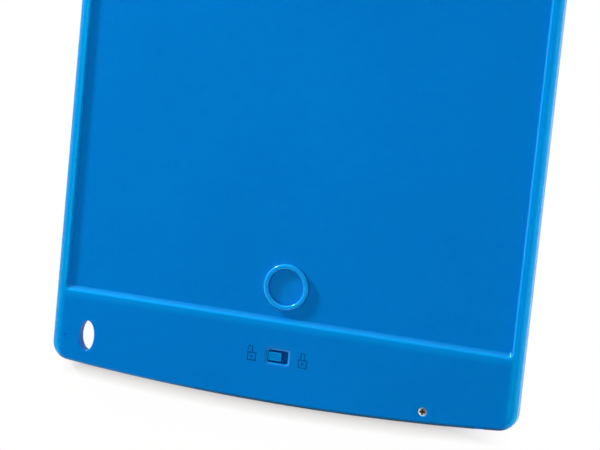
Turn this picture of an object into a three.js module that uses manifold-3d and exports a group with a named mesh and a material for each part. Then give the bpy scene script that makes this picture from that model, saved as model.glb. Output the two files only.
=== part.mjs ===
import * as THREE from 'three';
import { mergeVertices } from 'three/addons/utils/BufferGeometryUtils.js';
import Module from 'manifold-3d';

// An LCD writing tablet, lying face down: X across, Y from the bottom edge to the top edge,
// Z from the desk up. The origin is under the middle of the tablet. All lengths in millimetres.

// Screen window and the borders around it, which set the size of the whole tablet
const windowWidth = 120;
const windowLength = 180;
const sideBorder = 12.5;
const topBorder = 17;
const windowFromStep = 3.1;
const windowCornerRadius = 2;
const windowBevel = 0.4;

// Shells of the tablet
const cornerRadius = 5.2;
const bottomBow = 3.4;
const backEdgeRound = 1.4;
const frontEdgeRound = 0.5;
const splitHeight = 1.8;
const sideWall = 1.4;
const frontSkin = 1;
const bandSkin = 1;
const stepWall = 0.8;
const panelSkin = 1.1;
const lipGap = 0.2;
const lipWall = 0.7;
const lipHeight = 0.7;
const cutOverrun = 1;
const joinDepth = 0.3;

// Sunken panel on the back, sloping at the step and steep at the rims, and the moulded ring on it
const panelDepth = 1.3;
const panelSlope = 1.3;
const rimSlope = 0.35;
const rimWidth = 3;
const panelCornerRadius = 1.3;
const ringFromStep = 10.3;
const ringOuterRadius = 6.85;
const ringInnerRadius = 5.45;
const ringEdgeRound = 0.6;

// Oval lanyard hole
const lanyardFromSide = 11.3;
const lanyardFromBottom = 11.4;
const lanyardHalfWidth = 2.36;
const lanyardHalfLength = 4.6;
const lanyardWall = 1.2;
const lanyardFrontGrow = 0.8;

// Lock switch: slot, dished edge, knob with the flange that closes the slot, lever and switch body
const lockX = -0.4;
const lockFromBottom = 14.2;
const lockSlotWidth = 6.4;
const lockSlotLength = 3.6;
const lockSlotCorner = 0.5;
const lockDishMargin = 1.3;
const lockDishDepth = 0.45;
const knobWidth = 4;
const knobLength = 2.5;
const knobSideGap = 0.25;
const knobSunk = 0.3;
const knobUnderGap = 0.15;
const knobFlangeThickness = 0.3;
const knobFlangeReach = 0.3;
const knobRidgeWidth = 0.3;
const knobRidgeHeight = 0.15;
const knobRidgeCount = 4;
const lockTravel = 2;
const leverWidth = 1.4;
const leverLength = 1.1;
const leverGap = 0.25;
const leverTopGap = 0.05;
const leverSink = 0.35;
const leverRise = 0.6;
const lockBodyWidth = 7.6;
const lockBodyLength = 3;
const lockBodyHeight = 0.7;

// Padlock marks, engraved beside the lock switch
const markFromSlot = 4.8;
const markBelowSlot = 0.9;
const markWidth = 2.7;
const markHeight = 2.3;
const markLine = 0.32;
const markDepth = 0.25;
const markKeyhole = 0.7;
const shackleWidth = 1.4;
const shackleRise = 2.1;
const openShackleShift = 0.5;
const openShackleGap = 0.6;

// Screen: tape, two films and the sheet behind them
const tapeThickness = 0.15;
const tapeSetback = 1.2;
const filmMargin = 4;
const filmThickness = 0.3;
const filmLedgeWidth = 6;
const filmLedgeLength = 2.2;
const sheetSetback = 1;

// Circuit board and what is soldered on it
const boardLeft = -26;
const boardFromTray = 3.5;
const boardFromStep = 4.4;
const boardThickness = 0.6;
const boardCorner = 1;
const boardScrewInset = 3.2;
const boardScrewFromEdge = 2.4;
const boardScrewFromContact = 0.3;
const boardScrewHead = 2.8;
const boardScrewHeadHeight = 0.75;
const boardScrewShank = 1.2;
const boardScrewGap = 0.25;
const boardScrewReach = 0.9;
const bossRadius = 2.1;
const leadWidth = 3.2;
const leadThickness = 0.12;
const leadSpacing = 14;
const leadOverlap = 1.6;
const chipWidth = 5;
const chipLength = 4;
const chipHeight = 1.05;
const chipPinWidth = 0.4;
const chipPinReach = 0.6;
const chipPinHeight = 0.3;
const chipPinPitch = 1.1;
const chipPinsPerSide = 4;
const chipX = 10.5;
const chipRowFromEdge = 2.8;
const inductorRadius = 2;
const inductorWaist = 1.4;
const inductorFlange = 0.3;
const inductorHeight = 1.1;
const inductorX = 17.5;
const smallPartRowFromEdge = 3.5;
const capacitorWidth = 2;
const capacitorLength = 1.25;
const capacitorHeight = 0.9;
const capacitorPitch = 3.4;
const capacitorX = 6;
const resistorWidth = 1.6;
const resistorLength = 0.8;
const resistorHeight = 0.45;
const resistorPitch = 2.8;
const resistorX = -12;
const endCapWidth = 0.35;
const endCapStep = 0.05;
const diodeWidth = 2.6;
const diodeLength = 1.6;
const diodeHeight = 0.95;
const diodeX = 17;

// Erase button on the front, and the push switch behind it
const buttonFromBottom = 13.5;
const buttonRadius = 6;
const buttonHoleGap = 0.3;
const buttonRecess = 0.15;
const buttonSkin = 0.6;
const buttonSkirt = 0.8;
const buttonFlangeWidth = 0.8;
const buttonFlangeThickness = 0.3;
const buttonFlangeGap = 0.05;
const buttonDish = 0.2;
const buttonDishFlat = 2.6;
const buttonDishRadius = 4.6;
const buttonEdgeRound = 0.2;
const buttonBossRadius = 1.2;
const buttonTravel = 0.35;
const buttonStopGap = 0.05;
const pushBodyWidth = 5.2;
const pushBodyHeight = 0.5;
const pushBoreGap = 0.3;
const plungerRadius = 1.1;
const plungerHeight = 0.35;

// Battery tray, coin cell and contacts
const trayFromSide = 9;
const trayNarrowWall = 0.9;
const trayWideWall = 2.5;
const trayGap = 0.25;
const trayFloor = 0.5;
const trayUnderGap = 0.3;
const trayFaceGap = 0.2;
const trayRoofGap = 0.6;
const trayEndFromCell = 2.6;
const trayPushHole = 4;
const cellRadius = 10;
const cellHeight = 1.6;
const cellGap = 0.3;
const cellFromBottom = 3;
const cellFromPanelStep = 1.3;
const cellCanWall = 0.3;
const cellCapStep = 0.2;
const gasketWidth = 0.7;
const gasketGap = 0.05;
const nailNotchFromSide = 10.5;
const nailNotchWidth = 2.8;
const nailNotchDepth = 0.7;
const nailNotchHeight = 1.5;
const contactThickness = 0.2;
const contactWidth = 4;
const contactReach = 2.5;
const contactStripHeight = 0.7;
const contactFoot = 4;
const contactLift = 0.15;
const contactFromCell = 0.3;
const contactFromBoardEnd = 4;
const screwFromTrayEnd = 5.35;
const screwFromBottom = 5;
const screwHeadRadius = 1.35;
const screwHeadHeight = 0.65;
const screwSunk = 0.08;
const screwSeatGap = 0.15;
const screwShankRadius = 0.7;
const screwShankGap = 0.15;
const screwTipGap = 0.12;
const screwCrossLength = 1.7;
const screwCrossWidth = 0.4;
const screwCrossDepth = 0.4;
const screwBossRadius = 1.6;
const screwBossDepth = 0.35;

// Stylus and its slot in the top edge
const slotFromSide = 13.1;
const stylusGap = 0.3;
const stylusRadius = 2.3;
const stylusNeckRadius = 1.5;
const stylusTipLength = 9;
const stylusTipRound = 0.6;
const stylusCapLength = 5;
const stylusCapRound = 0.8;
const stylusStem = 3;
const stylusStemRadius = 1.1;
const stylusStemGap = 0.2;
const stylusJointGap = 0.02;
const clipFromSlotEnd = 19.4;
const clipWidth = 5;
const clipWall = 0.6;
const clipGap = 0.15;
const clipSideGap = 0.4;
const clipReach = 0.8;

// How finely the curves are divided
const cornerSteps = 7;
const bowSteps = 20;
const edgeSteps = 4;
const ringSteps = 36;
const ovalSteps = 14;
const roundSteps = 20;
const smallRoundSteps = 14;

// Heights and places that follow from the sizes above
const pocketRadius = cellRadius + cellGap;
const bandDepth = cellFromBottom + 2 * pocketRadius + cellFromPanelStep;
const bodyWidth = windowWidth + 2 * sideBorder;
const bodyLength = bandDepth + windowFromStep + windowLength + topBorder;
const bodyThickness = frontSkin + trayUnderGap + trayFloor + cellHeight + trayRoofGap + bandSkin;
const topY = bodyLength / 2;
const bottomY = -bodyLength / 2;
const sideX = bodyWidth / 2;
const stepY = bottomY + bandDepth;
const slotLength = bodyWidth - 2 * slotFromSide;
const slotY = topY - 2 * (stylusRadius + stylusGap);
const clipX = slotLength / 2 - clipFromSlotEnd;
const panelTopY = slotY - sideWall - rimWidth;
const panelZ = bodyThickness - panelDepth;
const panelUnderZ = panelZ - panelSkin;
const bandUnderZ = bodyThickness - bandSkin;
const ringY = stepY + ringFromStep;
const lanyardX = -sideX + lanyardFromSide;
const lanyardY = bottomY + lanyardFromBottom;
const lockY = bottomY + lockFromBottom;
const knobX = lockX - lockSlotWidth / 2 + knobSideGap + knobWidth / 2;
const windowY = stepY + windowFromStep + windowLength / 2;
const filmWidth = windowWidth + 2 * filmMargin;
const filmLength = windowLength + 2 * filmMargin;
const frontFilmZ = frontSkin + tapeThickness;
const rearFilmZ = frontFilmZ + filmThickness;
const sheetZ = rearFilmZ + filmThickness;
const buttonUnderZ = frontSkin + buttonFlangeGap + buttonFlangeThickness;
const boardFrontZ = buttonUnderZ + plungerHeight + buttonTravel + buttonStopGap;
const boardBackZ = boardFrontZ + boardThickness;
const trayRight = sideX - trayFromSide;
const trayLeft = trayRight - trayNarrowWall - 2 * pocketRadius - trayWideWall;
const boardRight = trayLeft - boardFromTray;
const cellX = trayRight - trayNarrowWall - pocketRadius;
const cellY = bottomY + cellFromBottom + pocketRadius;
const boardScrewY = cellY - contactWidth / 2 - bossRadius - boardScrewFromContact;
const boardTopY = stepY - boardFromStep;
const boardBottomY = boardScrewY - boardScrewFromEdge;
const chipY = boardTopY - chipRowFromEdge;
const smallPartY = boardBottomY + smallPartRowFromEdge;
const buttonY = bottomY + buttonFromBottom;
const pushBodyZ = boardFrontZ - pushBodyHeight;
const lockBodyTopZ = boardBackZ + lockBodyHeight;
const trayZ = frontSkin + trayUnderGap;
const cellZ = trayZ + trayFloor;
const trayTopZ = cellZ + cellHeight;
const trayEndY = cellY + pocketRadius - trayEndFromCell;
const cellCapRadius = cellRadius - cellCanWall - gasketWidth - 2 * gasketGap;
const nailNotchX = sideX - nailNotchFromSide;
const screwX = trayLeft + screwFromTrayEnd;
const screwY = bottomY + screwFromBottom;
const stylusY = slotY + stylusGap + stylusRadius;
const stylusZ = bodyThickness / 2;
const stylusHalf = slotLength / 2 - stylusGap;

// Finishes
const plastic = (color, roughness) => new THREE.MeshStandardMaterial({ color, roughness, metalness: 0 });
const metal = (color, roughness) => new THREE.MeshStandardMaterial({ color, roughness, metalness: 1 });

const wasm = await Module();
wasm.setup();
const tablet = new THREE.Group();

function solid(geometry) {
  geometry.deleteAttribute('normal');
  geometry.deleteAttribute('uv');
  const merged = mergeVertices(geometry);
  return new wasm.Manifold(new wasm.Mesh({
    numProp: 3,
    vertProperties: new Float32Array(merged.attributes.position.array),
    triVerts: new Uint32Array(merged.index.array),
  }));
}

function addPiece(name, body, material) {
  const { vertProperties, triVerts } = body.getMesh();
  const geometry = new THREE.BufferGeometry();
  geometry.setAttribute('position', new THREE.BufferAttribute(vertProperties, 3));
  geometry.setIndex(new THREE.BufferAttribute(triVerts, 1));
  geometry.computeVertexNormals();
  const piece = new THREE.Mesh(geometry, material);
  piece.name = name;
  tablet.add(piece);
}

function block(x0, x1, y0, y1, z0, z1) {
  const geometry = new THREE.BoxGeometry(x1 - x0, y1 - y0, z1 - z0);
  return solid(geometry.translate((x0 + x1) / 2, (y0 + y1) / 2, (z0 + z1) / 2));
}

function centredBlock(x, y, width, length, z0, z1) {
  return block(x - width / 2, x + width / 2, y - length / 2, y + length / 2, z0, z1);
}

function turned(profile, x, y, steps) {
  const points = profile.map(([radius, height]) => new THREE.Vector2(radius, height));
  const geometry = new THREE.LatheGeometry(points, steps);
  return solid(geometry.rotateX(Math.PI / 2).translate(x, y, 0));
}

function cylinder(radius, x, y, z0, z1, steps = roundSteps) {
  return turned([[0, z0], [radius, z0], [radius, z1], [0, z1]], x, y, steps);
}

function roundedPoints(width, length, radius) {
  const [x, y] = [width / 2 - radius, length / 2 - radius];
  return [
    ...arcPoints(x, -y, radius, -Math.PI / 2, 0, cornerSteps),
    ...arcPoints(x, y, radius, 0, Math.PI / 2, cornerSteps),
    ...arcPoints(-x, y, radius, Math.PI / 2, Math.PI, cornerSteps),
    ...arcPoints(-x, -y, radius, Math.PI, 3 * Math.PI / 2, cornerSteps),
  ];
}

function roundedBlock(x, y, width, length, radius, z0, z1) {
  const points = roundedPoints(width, length, radius);
  return loft([{ points, z: z0 }, { points, z: z1 }]).translate([x, y, 0]);
}

function arcPoints(x, y, radius, from, to, steps) {
  return Array.from({ length: steps + 1 }, (_, i) => {
    const angle = from + (to - from) * i / steps;
    return [x + radius * Math.cos(angle), y + radius * Math.sin(angle)];
  });
}

// The tablet's outline, drawn in by an inset: straight sides and top, a bowed bottom edge and
// four round corners that touch them smoothly
function outline(inset) {
  const bowRadius = (sideX ** 2 + bottomBow ** 2) / (2 * bottomBow);
  const bowY = bottomY + bowRadius;
  const cornerX = sideX - cornerRadius;
  const lowCornerY = bowY - Math.sqrt((bowRadius - cornerRadius) ** 2 - cornerX ** 2);
  const highCornerY = topY - cornerRadius;
  const bowEnd = Math.atan2(lowCornerY - bowY, cornerX);
  const radius = cornerRadius - inset;
  return [
    ...arcPoints(0, bowY, bowRadius - inset, -Math.PI - bowEnd, bowEnd, bowSteps).slice(1, -1),
    ...arcPoints(cornerX, lowCornerY, radius, bowEnd, 0, cornerSteps),
    ...arcPoints(cornerX, highCornerY, radius, 0, Math.PI / 2, cornerSteps),
    ...arcPoints(-cornerX, highCornerY, radius, Math.PI / 2, Math.PI, cornerSteps),
    ...arcPoints(-cornerX, lowCornerY, radius, Math.PI, Math.PI - bowEnd, cornerSteps),
  ];
}

// A closed solid through a stack of rings that all have the same number of points
function loft(rings) {
  const count = rings[0].points.length;
  const positions = rings.flatMap(({ points, z }) => points.flatMap(([x, y]) => [x, y, z]));
  const index = [];
  for (let level = 0; level + 1 < rings.length; level += 1) {
    for (let i = 0; i < count; i += 1) {
      const a = level * count + i;
      const b = level * count + (i + 1) % count;
      index.push(a, b, a + count, b, b + count, a + count);
    }
  }
  const last = (rings.length - 1) * count;
  const ends = [[0, 0, rings[0].z], [0, 0, rings[rings.length - 1].z]];
  positions.push(...ends.flat());
  for (let i = 0; i < count; i += 1) {
    const next = (i + 1) % count;
    index.push(rings.length * count, next, i);
    index.push(rings.length * count + 1, last + i, last + next);
  }
  const geometry = new THREE.BufferGeometry();
  geometry.setAttribute('position', new THREE.Float32BufferAttribute(positions, 3));
  geometry.setIndex(index);
  return solid(geometry);
}

function outlineSolid(levels) {
  return loft(levels.map(([inset, z]) => ({ points: outline(inset), z })));
}

// A prism of the outline that also stays clear of the stylus slot
function insideOutline(inset, z0, z1) {
  const slotSide = block(-sideX, sideX, slotY - inset, topY, z0 - cutOverrun, z1 + cutOverrun);
  return outlineSolid([[inset, z0], [inset, z1]]).subtract(slotSide);
}

// The lanyard hole as a solid, or its boss where it is grown by a wall
function lanyardPrism(grow, z0, z1) {
  const shape = new THREE.Shape();
  shape.absellipse(lanyardX, lanyardY, lanyardHalfWidth + grow, lanyardHalfLength + grow, 0, 2 * Math.PI);
  const options = { depth: z1 - z0, bevelEnabled: false, curveSegments: ovalSteps };
  return solid(new THREE.ExtrudeGeometry(shape, options).translate(0, 0, z0));
}

function stylusSlot() {
  return block(-slotLength / 2, slotLength / 2, slotY, topY + cutOverrun,
    -cutOverrun, bodyThickness + cutOverrun);
}

function trayOpening() {
  const innerFace = bottomY + bottomBow + sideWall + lipGap + lipWall;
  return block(trayLeft - trayGap, trayRight + trayGap, bottomY - cutOverrun, innerFace,
    frontSkin, bandUnderZ);
}

// Front frame: face plate with the window and the button hole, edge wall and locating lip
function frontFrame() {
  const levels = [];
  for (let i = 0; i <= edgeSteps; i += 1) {
    const angle = Math.PI / 2 * i / edgeSteps;
    levels.push([frontEdgeRound * (1 - Math.sin(angle)), frontEdgeRound * (1 - Math.cos(angle))]);
  }
  levels.push([0, splitHeight]);
  const lip = insideOutline(sideWall + lipGap, splitHeight - joinDepth, splitHeight + lipHeight);
  const inside = insideOutline(sideWall + lipGap + lipWall, frontSkin, bodyThickness);
  const windowRing = (grow, z) => ({
    points: roundedPoints(windowWidth + 2 * grow, windowLength + 2 * grow, windowCornerRadius + grow), z,
  });
  const bevel = loft([windowRing(2 * windowBevel, -windowBevel), windowRing(0, windowBevel)])
    .translate([0, windowY, 0]);
  const boss = lanyardPrism(lanyardFrontGrow + lanyardWall, frontSkin - joinDepth, splitHeight);
  return outlineSolid(levels)
    .add(lip)
    .subtract(inside)
    .add(boss)
    .subtract(roundedBlock(0, windowY, windowWidth, windowLength, windowCornerRadius,
      -cutOverrun, bodyThickness))
    .subtract(bevel)
    .subtract(cylinder(buttonRadius + buttonHoleGap, 0, buttonY, -cutOverrun, bodyThickness, ringSteps))
    .subtract(lanyardPrism(lanyardFrontGrow, -cutOverrun, bodyThickness))
    .subtract(trayOpening())
    .subtract(stylusSlot());
}

// Back cover
function panelRecess() {
  const length = panelTopY - stepY;
  const width = bodyWidth - 2 * rimWidth;
  // A ring some share of the way down from the rims to the panel
  const ring = (share, z) => ({
    points: roundedPoints(width - 2 * share * rimSlope, length - share * (panelSlope + rimSlope),
      panelCornerRadius - share * rimSlope).map(([x, y]) => [x, y + share * (panelSlope - rimSlope) / 2]),
    z,
  });
  return loft([ring(1, panelZ), ring(-cutOverrun / panelDepth, bodyThickness + cutOverrun)])
    .translate([0, (panelTopY + stepY) / 2, 0]);
}

function mouldedRing() {
  const roundZ = bodyThickness - ringEdgeRound;
  const outer = arcPoints(ringOuterRadius - ringEdgeRound, roundZ, ringEdgeRound,
    0, Math.PI / 2, edgeSteps);
  const inner = arcPoints(ringInnerRadius + ringEdgeRound, roundZ, ringEdgeRound,
    Math.PI / 2, Math.PI, edgeSteps);
  const low = panelZ - joinDepth;
  return turned([
    [ringInnerRadius, low], [ringOuterRadius, low], ...outer, ...inner, [ringInnerRadius, low],
  ], 0, ringY, ringSteps);
}

function lockSlot() {
  const ring = (grow, z) => ({
    points: roundedPoints(lockSlotWidth + 2 * grow, lockSlotLength + 2 * grow, lockSlotCorner + grow), z,
  });
  const dish = loft([
    ring(0, bodyThickness - lockDishDepth),
    ring(2 * lockDishMargin, bodyThickness + lockDishDepth),
  ]).translate([lockX, lockY, 0]);
  return roundedBlock(lockX, lockY, lockSlotWidth, lockSlotLength, lockSlotCorner,
    bandUnderZ - cutOverrun, bodyThickness + cutOverrun).add(dish);
}

// A padlock in outline: body, keyhole and shackle; open shifts the shackle and frees its left leg
function padlock(x, y, open) {
  const z0 = bodyThickness - markDepth;
  const z1 = bodyThickness + cutOverrun;
  const inside = centredBlock(x, y, markWidth - 2 * markLine, markHeight - 2 * markLine,
    z0 - cutOverrun, z1 + cutOverrun);
  const shackleX = open ? x - openShackleShift : x;
  const bodyTop = y + markHeight / 2;
  const top = bodyTop + shackleRise;
  const legBottom = bodyTop - markLine;
  const left = shackleX - shackleWidth / 2;
  const right = shackleX + shackleWidth / 2;
  return centredBlock(x, y, markWidth, markHeight, z0, z1)
    .subtract(inside)
    .add(centredBlock(x, y, markKeyhole, markKeyhole, z0, z1))
    .add(block(left, left + markLine, open ? bodyTop + openShackleGap : legBottom, top, z0, z1))
    .add(block(right - markLine, right, legBottom, top, z0, z1))
    .add(block(left, right, top - markLine, top, z0, z1));
}

function screwSeat() {
  const headTop = bodyThickness - screwSunk;
  const seat = screwHeadRadius + screwSeatGap;
  const hole = screwShankRadius + screwShankGap;
  const coneBottom = headTop - screwHeadHeight - screwSeatGap;
  return turned([
    [0, bandUnderZ - cutOverrun], [hole, bandUnderZ - cutOverrun], [hole, coneBottom],
    [seat, headTop - screwSeatGap], [seat, bodyThickness + cutOverrun], [0, bodyThickness + cutOverrun],
  ], screwX, screwY, smallRoundSteps);
}

function stylusClip(x) {
  const jaw = stylusNeckRadius + clipGap;
  const shape = new THREE.Shape();
  const outer = jaw + clipWall;
  const reach = stylusY + clipReach;
  shape.moveTo(slotY - joinDepth, stylusZ + outer);
  shape.lineTo(reach, stylusZ + outer);
  shape.lineTo(reach, stylusZ + jaw);
  shape.lineTo(stylusY, stylusZ + jaw);
  shape.absarc(stylusY, stylusZ, jaw, Math.PI / 2, 3 * Math.PI / 2);
  shape.lineTo(reach, stylusZ - jaw);
  shape.lineTo(reach, stylusZ - outer);
  shape.lineTo(slotY + stylusGap, stylusZ - outer);
  shape.lineTo(slotY + stylusGap, splitHeight + lipGap);
  shape.lineTo(slotY - joinDepth, splitHeight + lipGap);
  return alongX(new THREE.ExtrudeGeometry(shape, {
    depth: clipWidth, bevelEnabled: false, curveSegments: cornerSteps,
  }), x - clipWidth / 2);
}

function backCover() {
  const levels = [[0, splitHeight]];
  for (let i = 0; i <= edgeSteps; i += 1) {
    const angle = Math.PI / 2 * i / edgeSteps;
    const drop = backEdgeRound * (1 - Math.sin(angle));
    levels.push([backEdgeRound * (1 - Math.cos(angle)), bodyThickness - drop]);
  }
  const bandHollow = insideOutline(sideWall, panelUnderZ - joinDepth, bandUnderZ)
    .subtract(block(-sideX, sideX, stepY - stepWall, topY, 0, bodyThickness));
  const screwBoss = cylinder(screwBossRadius, screwX, screwY,
    bandUnderZ - screwBossDepth, bandUnderZ + joinDepth, smallRoundSteps);
  const notchEdge = bottomBow * (nailNotchX / sideX) ** 2;
  const nailNotch = centredBlock(nailNotchX, bottomY, nailNotchWidth, 2 * (nailNotchDepth + notchEdge),
    bodyThickness - nailNotchHeight, bodyThickness + cutOverrun);
  let cover = outlineSolid(levels)
    .subtract(panelRecess())
    .add(mouldedRing())
    .subtract(insideOutline(sideWall, splitHeight - cutOverrun, panelUnderZ))
    .subtract(bandHollow)
    .add(lanyardPrism(lanyardWall, splitHeight, bandUnderZ + joinDepth))
    .subtract(trayOpening())
    .add(screwBoss);
  for (const x of boardScrewPlaces()) {
    cover = cover
      .add(cylinder(bossRadius, x, boardScrewY, boardBackZ, bandUnderZ + joinDepth, smallRoundSteps))
      .subtract(cylinder(boardScrewShank / 2 + boardScrewGap, x, boardScrewY, boardBackZ - cutOverrun,
        boardBackZ + boardScrewReach + boardScrewGap, smallRoundSteps));
  }
  return cover
    .subtract(lanyardPrism(0, 0, bodyThickness + cutOverrun))
    .subtract(lockSlot())
    .subtract(padlock(lockX - lockSlotWidth / 2 - markFromSlot, lockY - markBelowSlot, true))
    .subtract(padlock(lockX + lockSlotWidth / 2 + markFromSlot, lockY - markBelowSlot, false))
    .subtract(screwSeat())
    .subtract(nailNotch)
    .subtract(stylusSlot())
    .add(stylusClip(-clipX))
    .add(stylusClip(clipX));
}

function boardScrewPlaces() {
  return [boardLeft + boardScrewInset, boardRight - boardScrewInset];
}

// Screen
function tape() {
  const y = windowY;
  const open = tapeSetback;
  return roundedBlock(0, y, filmWidth, filmLength, windowCornerRadius, frontSkin, frontFilmZ)
    .subtract(roundedBlock(0, y, windowWidth + 2 * open, windowLength + 2 * open, windowCornerRadius,
      frontSkin - cutOverrun, frontFilmZ + cutOverrun));
}

// Each film has a ledge cut from its lower edge, where the other film's inner face is reached
function film(z, ledgeX) {
  const edge = windowY - filmLength / 2;
  return roundedBlock(0, windowY, filmWidth, filmLength, windowCornerRadius, z, z + filmThickness)
    .subtract(centredBlock(ledgeX, edge, filmLedgeWidth, 2 * filmLedgeLength, 0, bodyThickness));
}

function filmLead(x, filmZ) {
  const filmEdge = windowY - filmLength / 2;
  const boardZ = boardFrontZ - leadThickness;
  const path = [
    [filmEdge + leadOverlap, filmZ], [filmEdge - leadThickness, filmZ],
    [boardTopY + leadThickness, boardZ], [boardTopY - leadOverlap, boardZ],
  ];
  const points = [...path, ...path.toReversed().map(([y, z]) => [y, z + leadThickness])];
  const shape = new THREE.Shape(points.map(([y, z]) => new THREE.Vector2(y, z)));
  const geometry = new THREE.ExtrudeGeometry(shape, { depth: leadWidth, bevelEnabled: false });
  return alongX(geometry, x - leadWidth / 2);
}

// Turns a shape drawn in Y and Z and extruded by its depth so that the depth runs along X from x
function alongX(geometry, x) {
  geometry.applyMatrix4(new THREE.Matrix4().makeBasis(
    new THREE.Vector3(0, 1, 0), new THREE.Vector3(0, 0, 1), new THREE.Vector3(1, 0, 0)));
  return solid(geometry.translate(x, 0, 0));
}

// Circuit board
function board() {
  const centreX = (boardLeft + boardRight) / 2;
  const centreY = (boardBottomY + boardTopY) / 2;
  let plain = roundedBlock(centreX, centreY, boardRight - boardLeft, boardTopY - boardBottomY,
    boardCorner, boardFrontZ, boardBackZ);
  for (const x of boardScrewPlaces()) {
    plain = plain.subtract(cylinder(boardScrewShank / 2 + boardScrewGap, x, boardScrewY,
      boardFrontZ - cutOverrun, boardBackZ + cutOverrun, smallRoundSteps));
  }
  return plain;
}

function boardScrew(x) {
  const shank = boardScrewShank / 2;
  const tip = boardBackZ + boardScrewReach;
  const headZ = boardFrontZ - boardScrewHeadHeight;
  const cross = (width, length) => centredBlock(x, boardScrewY, width, length,
    headZ - cutOverrun, headZ + screwCrossDepth);
  return turned([
    [0, headZ], [boardScrewHead / 2, headZ], [boardScrewHead / 2, boardFrontZ],
    [shank, boardFrontZ], [shank, tip], [0, tip],
  ], x, boardScrewY, smallRoundSteps)
    .subtract(cross(screwCrossLength, screwCrossWidth))
    .subtract(cross(screwCrossWidth, screwCrossLength));
}

function chip() {
  const z = boardBackZ;
  const firstPin = chipX - (chipPinsPerSide - 1) / 2 * chipPinPitch;
  let body = centredBlock(chipX, chipY, chipWidth, chipLength, z, z + chipHeight);
  for (const side of [-1, 1]) {
    for (let pin = 0; pin < chipPinsPerSide; pin += 1) {
      body = body.add(centredBlock(firstPin + pin * chipPinPitch, chipY + side * chipLength / 2,
        chipPinWidth, 2 * chipPinReach, z, z + chipPinHeight));
    }
  }
  return body;
}

function inductor() {
  const z = boardBackZ;
  const top = z + inductorHeight;
  return turned([
    [0, z], [inductorRadius, z],
    [inductorRadius, z + inductorFlange], [inductorWaist, z + inductorFlange],
    [inductorWaist, top - inductorFlange], [inductorRadius, top - inductorFlange],
    [inductorRadius, top], [0, top],
  ], inductorX, chipY, smallRoundSteps);
}

// A small part with two end caps that are a little thicker than its middle
function chipPart(x, y, width, length, height) {
  const capX = (width - endCapWidth) / 2;
  const top = boardBackZ + height;
  const endCap = (side) => centredBlock(x + side * capX, y, endCapWidth, length, boardBackZ, top);
  return centredBlock(x, y, width, length - 2 * endCapStep, boardBackZ, top - endCapStep)
    .add(endCap(-1))
    .add(endCap(1));
}

// Erase button and push switch
function eraseButton() {
  const face = buttonRecess;
  const skinTop = face + buttonSkin;
  const under = buttonUnderZ;
  const flange = buttonRadius + buttonFlangeWidth;
  const edge = arcPoints(buttonRadius - buttonEdgeRound, face + buttonEdgeRound, buttonEdgeRound,
    -Math.PI / 2, 0, edgeSteps);
  return turned([
    [0, face + buttonDish], [buttonDishFlat, face + buttonDish], [buttonDishRadius, face], ...edge,
    [buttonRadius, under - buttonFlangeThickness], [flange, under - buttonFlangeThickness], [flange, under],
    [buttonRadius - buttonSkirt, under], [buttonRadius - buttonSkirt, skinTop], [buttonBossRadius, skinTop],
    [buttonBossRadius, under], [0, under],
  ], 0, buttonY, ringSteps);
}

function pushBody() {
  const bore = cylinder(plungerRadius + pushBoreGap, 0, buttonY,
    pushBodyZ - cutOverrun, boardFrontZ + cutOverrun, smallRoundSteps);
  return centredBlock(0, buttonY, pushBodyWidth, pushBodyWidth, pushBodyZ, boardFrontZ).subtract(bore);
}

// Lock switch under the slot
function lockBody() {
  const slotLeft = knobX - leverWidth / 2 - leverGap;
  const slotRight = knobX + leverWidth / 2 + lockTravel + leverGap;
  const slotSide = leverLength / 2 + leverGap;
  const slotBottom = lockBodyTopZ - leverSink - leverGap;
  return centredBlock(lockX, lockY, lockBodyWidth, lockBodyLength, boardBackZ, lockBodyTopZ)
    .subtract(block(slotLeft, slotRight, lockY - slotSide, lockY + slotSide,
      slotBottom, lockBodyTopZ + cutOverrun));
}

function lockLever() {
  return centredBlock(knobX, lockY, leverWidth, leverLength,
    lockBodyTopZ - leverSink, lockBodyTopZ + leverRise);
}

function lockKnob() {
  const bottom = lockBodyTopZ + knobUnderGap;
  const top = bodyThickness - knobSunk;
  const pitch = knobWidth / (knobRidgeCount + 1);
  const flangeLeft = lockX - lockSlotWidth / 2 - knobFlangeReach - lockTravel;
  const flangeRight = lockX + lockSlotWidth / 2 + knobFlangeReach;
  const flangeSide = lockSlotLength / 2 + knobFlangeReach;
  let knob = centredBlock(knobX, lockY, knobWidth, knobLength, bottom, top - knobRidgeHeight)
    .add(block(flangeLeft, flangeRight, lockY - flangeSide, lockY + flangeSide,
      bottom, bottom + knobFlangeThickness))
    .subtract(centredBlock(knobX, lockY, leverWidth + 2 * leverGap, leverLength + 2 * leverGap,
      bottom - cutOverrun, lockBodyTopZ + leverRise + leverTopGap));
  for (let ridge = 1; ridge <= knobRidgeCount; ridge += 1) {
    knob = knob.add(centredBlock(knobX - knobWidth / 2 + ridge * pitch, lockY, knobRidgeWidth, knobLength,
      top - 2 * knobRidgeHeight, top));
  }
  return knob;
}

// Battery tray: a face in the tablet's edge, a floor and a pocket that holds the cell by its rim
function batteryTray() {
  const across = (z0, z1) => block(trayLeft, trayRight, bottomY - cutOverrun, trayEndY, z0, z1);
  const behindFace = outlineSolid([[sideWall / 2, 0], [sideWall / 2, bodyThickness]]);
  const face = outlineSolid([[0, frontSkin + trayFaceGap], [0, bandUnderZ - trayFaceGap]])
    .subtract(outlineSolid([[sideWall, 0], [sideWall, bodyThickness]]))
    .intersect(across(0, bodyThickness));
  return face
    .add(across(trayZ, trayTopZ).intersect(behindFace))
    .subtract(cylinder(pocketRadius, cellX, cellY, cellZ, bodyThickness, ringSteps))
    .subtract(cylinder(trayPushHole, cellX, cellY, 0, bodyThickness, roundSteps));
}

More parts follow.
